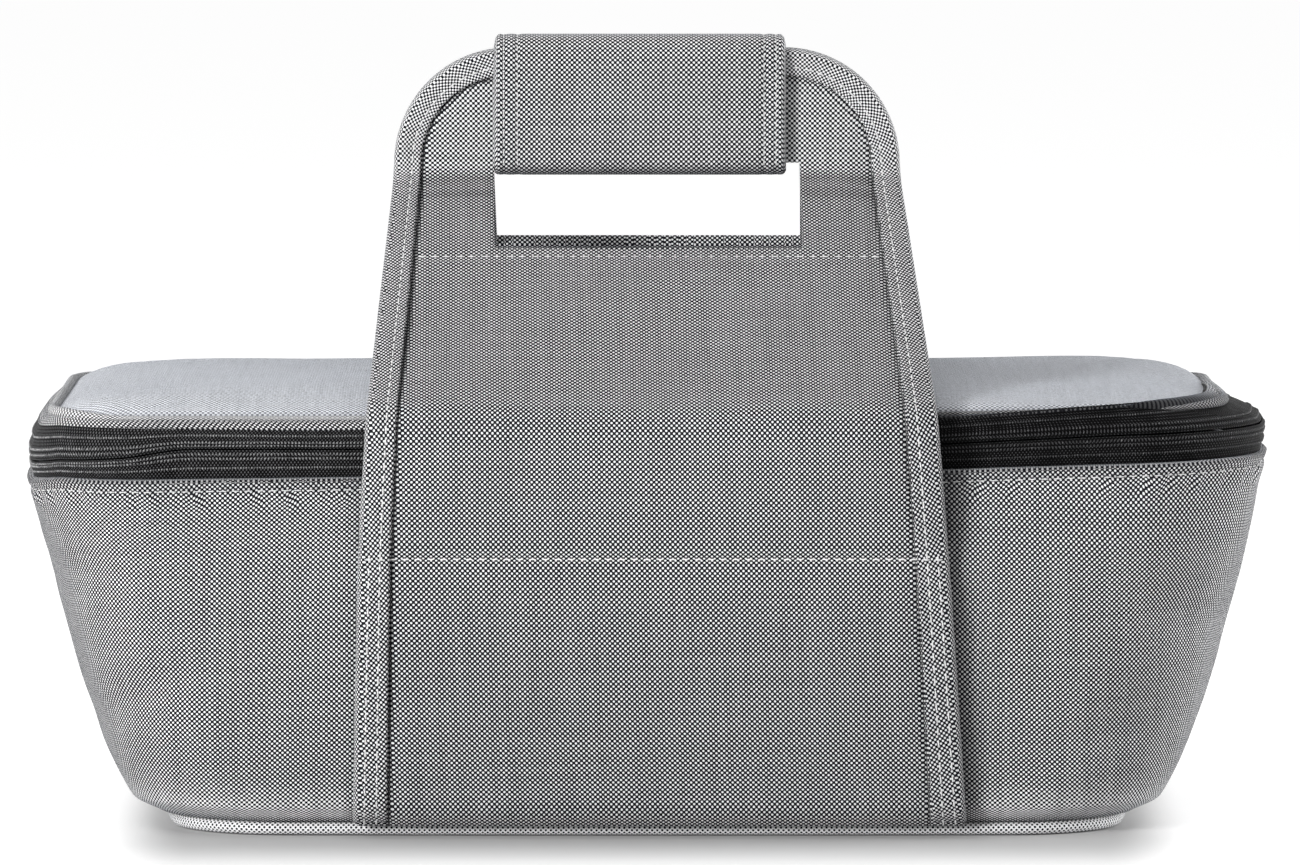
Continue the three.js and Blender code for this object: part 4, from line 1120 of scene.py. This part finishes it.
# Painted shade on the panel: along the groove inside the binding (darker on the left, where the binding's
# shadow falls with light from the left), at the crease, along the stitch line, and over the leaning and
# lower parts. Painted light on the upright arms shows more white yarn.
fold = 0.3 * hump(row_v, crease_v, 3.0) + 0.25 * hump(row_v, crease_v - 9, 2.2)
seam = 0.4 * hump(row_v, -1.0, 0.7)
bend_v = along_at(BEND[1])
leaning = smooth(row_v, bend_v - 6, bend_v + 8) * (1 - smooth(row_v, crease_v - 12, crease_v))
low_and_leaning_painted_shade = 0.04 * leaning + 0.07 * (1 - smooth(row_v, -50, 30)) + 0.03 * (1 - smooth(row_v, 30, crease_v))
upright = smooth(row_v, crease_v - 2, crease_v + 6)
panel_painted_shading = groove * np.where(panel_x < 0, 1.2, 0.4) + fold + seam + low_and_leaning_painted_shade - 0.17 * upright
panel_painted_shading = np.clip(panel_painted_shading, -0.2, 0.96)

handle_bodies = (("front", "front_handle", 1), ("rear", "rear_handle", -1))
panel_weave = weave_material("panel_weave", 0.25)


def faced(points, side):
    """The same points on the front panel, or mirrored to the rear one."""
    return points * np.array([1, side, 1])


for place_name, body, side in handle_bodies:
    turn = slice(None, None, side)
    panel = cloth(f"{place_name}_panel", faced(panel_grid, side)[:, turn], panel_cut[:, turn], panel_weave,
                  keep=~in_opening[:, turn], painted_shading=panel_painted_shading[:, turn])
    finish_mesh(panel, STACK, offset=0.0, bevel=0.9)
    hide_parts(*(f"{place_name}_{part}" for part in (
        "anchor_padding", "anchor_panel", "handle_panel", "handle_padding", "handle_lining")))
    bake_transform(panel)


# Panel binding: a strip of the same cloth, cut on the bias and folded over the panel's outline, with a
# stitch row along it, a second one where the panel is sewn to the wall, and the cross rows over the panel.
BINDING = 0.85
BINDING_FACE = HALF_STACK + 1.4
BINDING_SIDE = 1.4
BIAS = math.radians(8)
EDGE_ROW = 6.8
SEWN_ROW = 2.6


def outline_points():
    """The panel's outline from its left foot over the arch to its right foot, as across and along."""
    climb_v = spaced((sewn_v[0], 0, ARCH_START), (34, 76))[:-1]
    climb_line = np.column_stack([-panel_half(climb_v), climb_v])
    arch = arc((-FLAT_HALF, ARCH_START), ARCH_RADIUS, 180, 90, 26)
    top = np.column_stack([np.linspace(-FLAT_HALF, 0, 14)[1:], np.full(13, FREE_LENGTH)])
    left = np.vstack([climb_line, arch, top])
    right = left[-2::-1] * np.array([-1, 1])
    return np.vstack([left, right])


outline = outline_points()
outline_along = unit(np.gradient(outline, axis=0))
outline_in = np.stack([outline_along[:, 1], -outline_along[:, 0]], 1)
outline_run = run_length(outline)


def on_outline(inward, depth):
    """Points beside the outline, at one distance in and one depth for each of its samples."""
    spot = outline + outline_in * np.asarray(inward, float).reshape(-1, 1)
    return panel_point(spot[:, 0], spot[:, 1], depth)


turn_angles = np.linspace(np.pi / 2, -np.pi / 2, 9)
leg = np.linspace(BINDING_WIDTH[0], 0.4, 12)
leg_scale = binding_width(outline[:, 1]) / BINDING_WIDTH[0]
leg_swell = 0.3 * np.sin(np.pi * leg / BINDING_WIDTH[0]) - 0.35 * hump(leg, EDGE_ROW, 0.8)
free_back = smooth(outline[:, 1], -3, 3)


def binding_section(shrink):
    """Rows of inward distance and depth round the fold, thinned by a shrink for its inner face."""
    face = BINDING_FACE - shrink
    rows = [(q, face + swell) for q, swell in zip(leg, leg_swell)]
    rows += [(-(BINDING_SIDE - shrink) * math.cos(a), face * math.sin(a)) for a in turn_angles]
    rows += [(q, -face - swell) for q, swell in zip(leg[::-1], leg_swell[::-1])]
    return rows


def binding_rows(shrink):
    made = []
    for q, depth in binding_section(shrink):
        back = -HALF_STACK - 0.3
        lifted = np.where(free_back < 1, np.maximum(depth, back + (depth - back) * free_back), depth)
        uneven = 0.12 * ripple(np.stack([outline_run, np.full(len(outline), q)], -1), 7, 51)
        made.append(on_outline(q * leg_scale, lifted + np.sign(depth) * uneven))
    return made


binding_loop = np.array(binding_rows(0.0) + binding_rows(BINDING)[::-1]).transpose(1, 0, 2)
cap_low, cap_high = (np.broadcast_to(binding_loop[k].mean(0), binding_loop[k].shape) for k in (0, -1))
binding_loop = np.concatenate([cap_low[None], binding_loop, cap_high[None]])
girth = run_length(np.array(binding_section(0.0)))
loop_girth = np.concatenate([girth, girth[::-1], girth[:1]])
loop_run = np.concatenate([outline_run[:1] - 2, outline_run, outline_run[-1:] + 2])
bias_turn = np.array([[math.cos(BIAS), math.sin(BIAS)], [-math.sin(BIAS), math.cos(BIAS)]])
binding_cut = flat_cut(loop_girth, loop_run) @ bias_turn
sewn_part = outline[:, 1] <= 0
edge_row = on_outline(EDGE_ROW * leg_scale, BINDING_FACE + 0.05)
back_row = on_outline(EDGE_ROW * leg_scale, -BINDING_FACE - 0.05)[~sewn_part]
sewn_row = on_outline(np.full(len(outline), SEWN_ROW), BINDING_FACE + 0.25)
sewn_rows = [sewn_row[sewn_part & (outline[:, 0] * side > 0)] for side in (-1, 1)]
cross_x = np.linspace(-PANEL_STITCH[1] + 2.4, PANEL_STITCH[1] - 2.4, 90)
under_x = np.linspace(-80, 80, 70)
binding_inner = PANEL_STITCH[1] - float(binding_width(0))
on_binding = 1.7 * smooth(np.abs(cross_x), binding_inner - 1, binding_inner + 1)
cross_row = panel_point(cross_x, -0.4, HALF_STACK + 0.1 + on_binding)
under_row = panel_point(under_x, opening_low - UNDER_ROW, HALF_STACK + 0.2)
bias_weave = weave_material("bias_weave", 0.2)
outer_side, outer_up = np.concatenate([outline[:1], outline, outline[-1:]]).T
# Painted shade on the binding down its right side, away from the light, and painted light over its upright
# arch.
side_painted_shading = 0.16 * smooth(outer_side, 20, 92) * (1 - smooth(outer_up, 0, ARCH_START))
side_painted_shading -= 0.14 * smooth(outer_up, crease_v - 2, crease_v + 6)
binding_painted_shading = np.repeat(side_painted_shading[:, None], binding_loop.shape[1], axis=1)

for place_name, body, side in handle_bodies:
    turn = slice(None, None, -side)
    binding = cloth(f"{place_name}_binding", faced(binding_loop, side)[:, turn], binding_cut[:, turn],
                    bias_weave, around=True, painted_shading=binding_painted_shading)
    finish_mesh(binding)
    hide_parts(*(f"{place_name}_{part}" for part in (
        "anchor_binding_left", "anchor_binding_right", "handle_binding")))
    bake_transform(binding)
    lines = [edge_row, back_row, *sewn_rows, cross_row, under_row]
    thread = sew(f"{place_name}_stitches", [faced(line, side) for line in lines])
    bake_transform(thread)


# Grip: a padded wrap round both bars, one cloth from the front over the top to the rear flap, sewn shut
# beside its ends, with a lip on each side that closes under the bars on hook and loop strips.
GRIP_ENDS = (-54.5, 49.5)
GRIP_SIDE = 12.6
GRIP_INSIDE = 7.3
GRIP_Z = (225.0, 274.8)
GRIP_HOLLOW = (228.0, 270.4)
GRIP_ROUND = 10.0
GRIP_ROWS = (-50.9, -46.0, 41.6, 45.9)
GRIP_PINCH = 5.1
LIP = 1.4
LIPS = (("pad_lip", "front_handle", 229.1, (-9.0, 6.0)), ("flap_lip", "grip_flap", 225.7, (-7.0, 9.0)))


def grip_section(pinch):
    """The wrap's outer line from its front lower edge over the top to its rear lower edge."""
    side = GRIP_SIDE - pinch
    low, high = GRIP_Z[0] + 0.3 * pinch, GRIP_Z[1] - 0.8 * pinch
    radius = min(GRIP_ROUND, side - 0.4)
    low_radius = min(6.0, side - 0.4)
    corners = [((-side + low_radius, low + low_radius), low_radius, -90, -180),
               ((-side + radius, high - radius), radius, 180, 90),
               ((side - radius, high - radius), radius, 90, 0),
               ((side - low_radius, low + low_radius), low_radius, 0, -90)]
    points = [np.array([(-GRIP_INSIDE, low)])]
    for centre, bend_radius, first, last in corners:
        points.append(arc(centre, bend_radius, first, last, 9))
    points.append(np.array([(GRIP_INSIDE, low)]))
    line = np.vstack(points)
    length = run_length(line)
    even = np.linspace(0, length[-1], 84)
    return np.column_stack([np.interp(even, length, line[:, k]) for k in (0, 1)])


def across_at(x, line):
    return np.column_stack([np.full(len(line), x), line])


grip_x = spaced((GRIP_ENDS[0], -44, 39.6, GRIP_ENDS[1]), (18, 44, 16))
grip_loop = []
for x in grip_x:
    end = min(x - GRIP_ENDS[0], GRIP_ENDS[1] - x)
    pinch = GRIP_PINCH * (1 - math.sqrt(1 - (1 - min(end / 2.4, 1)) ** 2))
    pinch += sum(0.4 * hump(x, row, 0.9) for row in GRIP_ROWS) * min(end / 2.4, 1)
    outer_line = grip_section(pinch)
    inside = np.clip(outer_line, (-GRIP_INSIDE, GRIP_HOLLOW[0]), (GRIP_INSIDE, GRIP_HOLLOW[1]))
    grip_loop.append(across_at(x, np.vstack([outer_line, inside[::-1]])))
grip_loop = np.array(grip_loop)
outer_count = grip_loop.shape[1] // 2
grip_outer = grip_loop[:, :outer_count]
faces_out = np.sign(grip_outer[..., 1]) * smooth(np.abs(grip_outer[..., 1]), 6, 12)
grip_outer[..., 1] += 0.35 * ripple(grip_outer, 34, 41) * faces_out
grip_girth = run_length(grip_loop[len(grip_x) // 2][:, 1:])
grip_cut = flat_cut(np.append(grip_girth, grip_girth[-1] + LIP), grip_x)[..., ::-1]
row_hold = np.max([hump(grip_x, row, 0.8) for row in GRIP_ROWS], axis=0)
end_hold = np.maximum(1 - smooth(grip_x - GRIP_ENDS[0], 0, 2), 1 - smooth(GRIP_ENDS[1] - grip_x, 0, 2))
low_hold = 1 - smooth(grip_loop[..., 2], GRIP_Z[0] + 1, GRIP_Z[0] + 4)
grip_sewn = np.maximum(np.maximum(row_hold, end_hold)[:, None], low_hold)
grip_sewn[:, outer_count:] = 1
# Painted shade on the grip: along its lower edge underneath and along the stitch rows beside its ends.
grip_painted_shading = 0.5 * (1 - smooth(grip_loop[..., 2], GRIP_Z[0] + 0.5, GRIP_Z[0] + 4))
grip_painted_shading += 0.12 * row_hold[:, None]
grip_weave = weave_material("grip_weave", 0.17)
grip_cover = cloth("grip_cover", grip_loop, grip_cut, grip_weave, around=True, painted_shading=grip_painted_shading)
settle(grip_cover, grip_sewn.ravel(), pressure=0.5, limit=1.2)
finish_mesh(grip_cover)
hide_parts("grip_pad", "grip_flap")
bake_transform(grip_cover)

grip_lines = [across_at(x, grip_section(0.3)[6:-6]) for x in GRIP_ROWS]
grip_stitches = sew("grip_stitches", grip_lines, pitch=3.4, length=2.5, radius=0.22)
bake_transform(grip_stitches)

lip_x = np.linspace(GRIP_ENDS[0] + 1, GRIP_ENDS[1] - 1, 30)
for lip_name, body, height, edges in LIPS:
    lip_y = np.linspace(*edges, 8)
    lip_grid = np.stack(np.broadcast_arrays(lip_x[None], lip_y[:, None], height), 2)
    lip = cloth(lip_name, lip_grid, flat_cut(lip_x, lip_y), weave)
    finish_mesh(lip, LIP - 0.1, offset=0.0, bevel=0.3)
    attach(lip, body)

tape_hooks = fibre_material("hook_tape", (0.012, 0.012, 0.013, 1), (0.045, 0.045, 0.048, 1), 900, 0.8,
                            0.3 * MM, sheen=0.2)
for strip in ("grip_loop_strip", "grip_hook_strip"):
    dress(strip, tape_hooks)
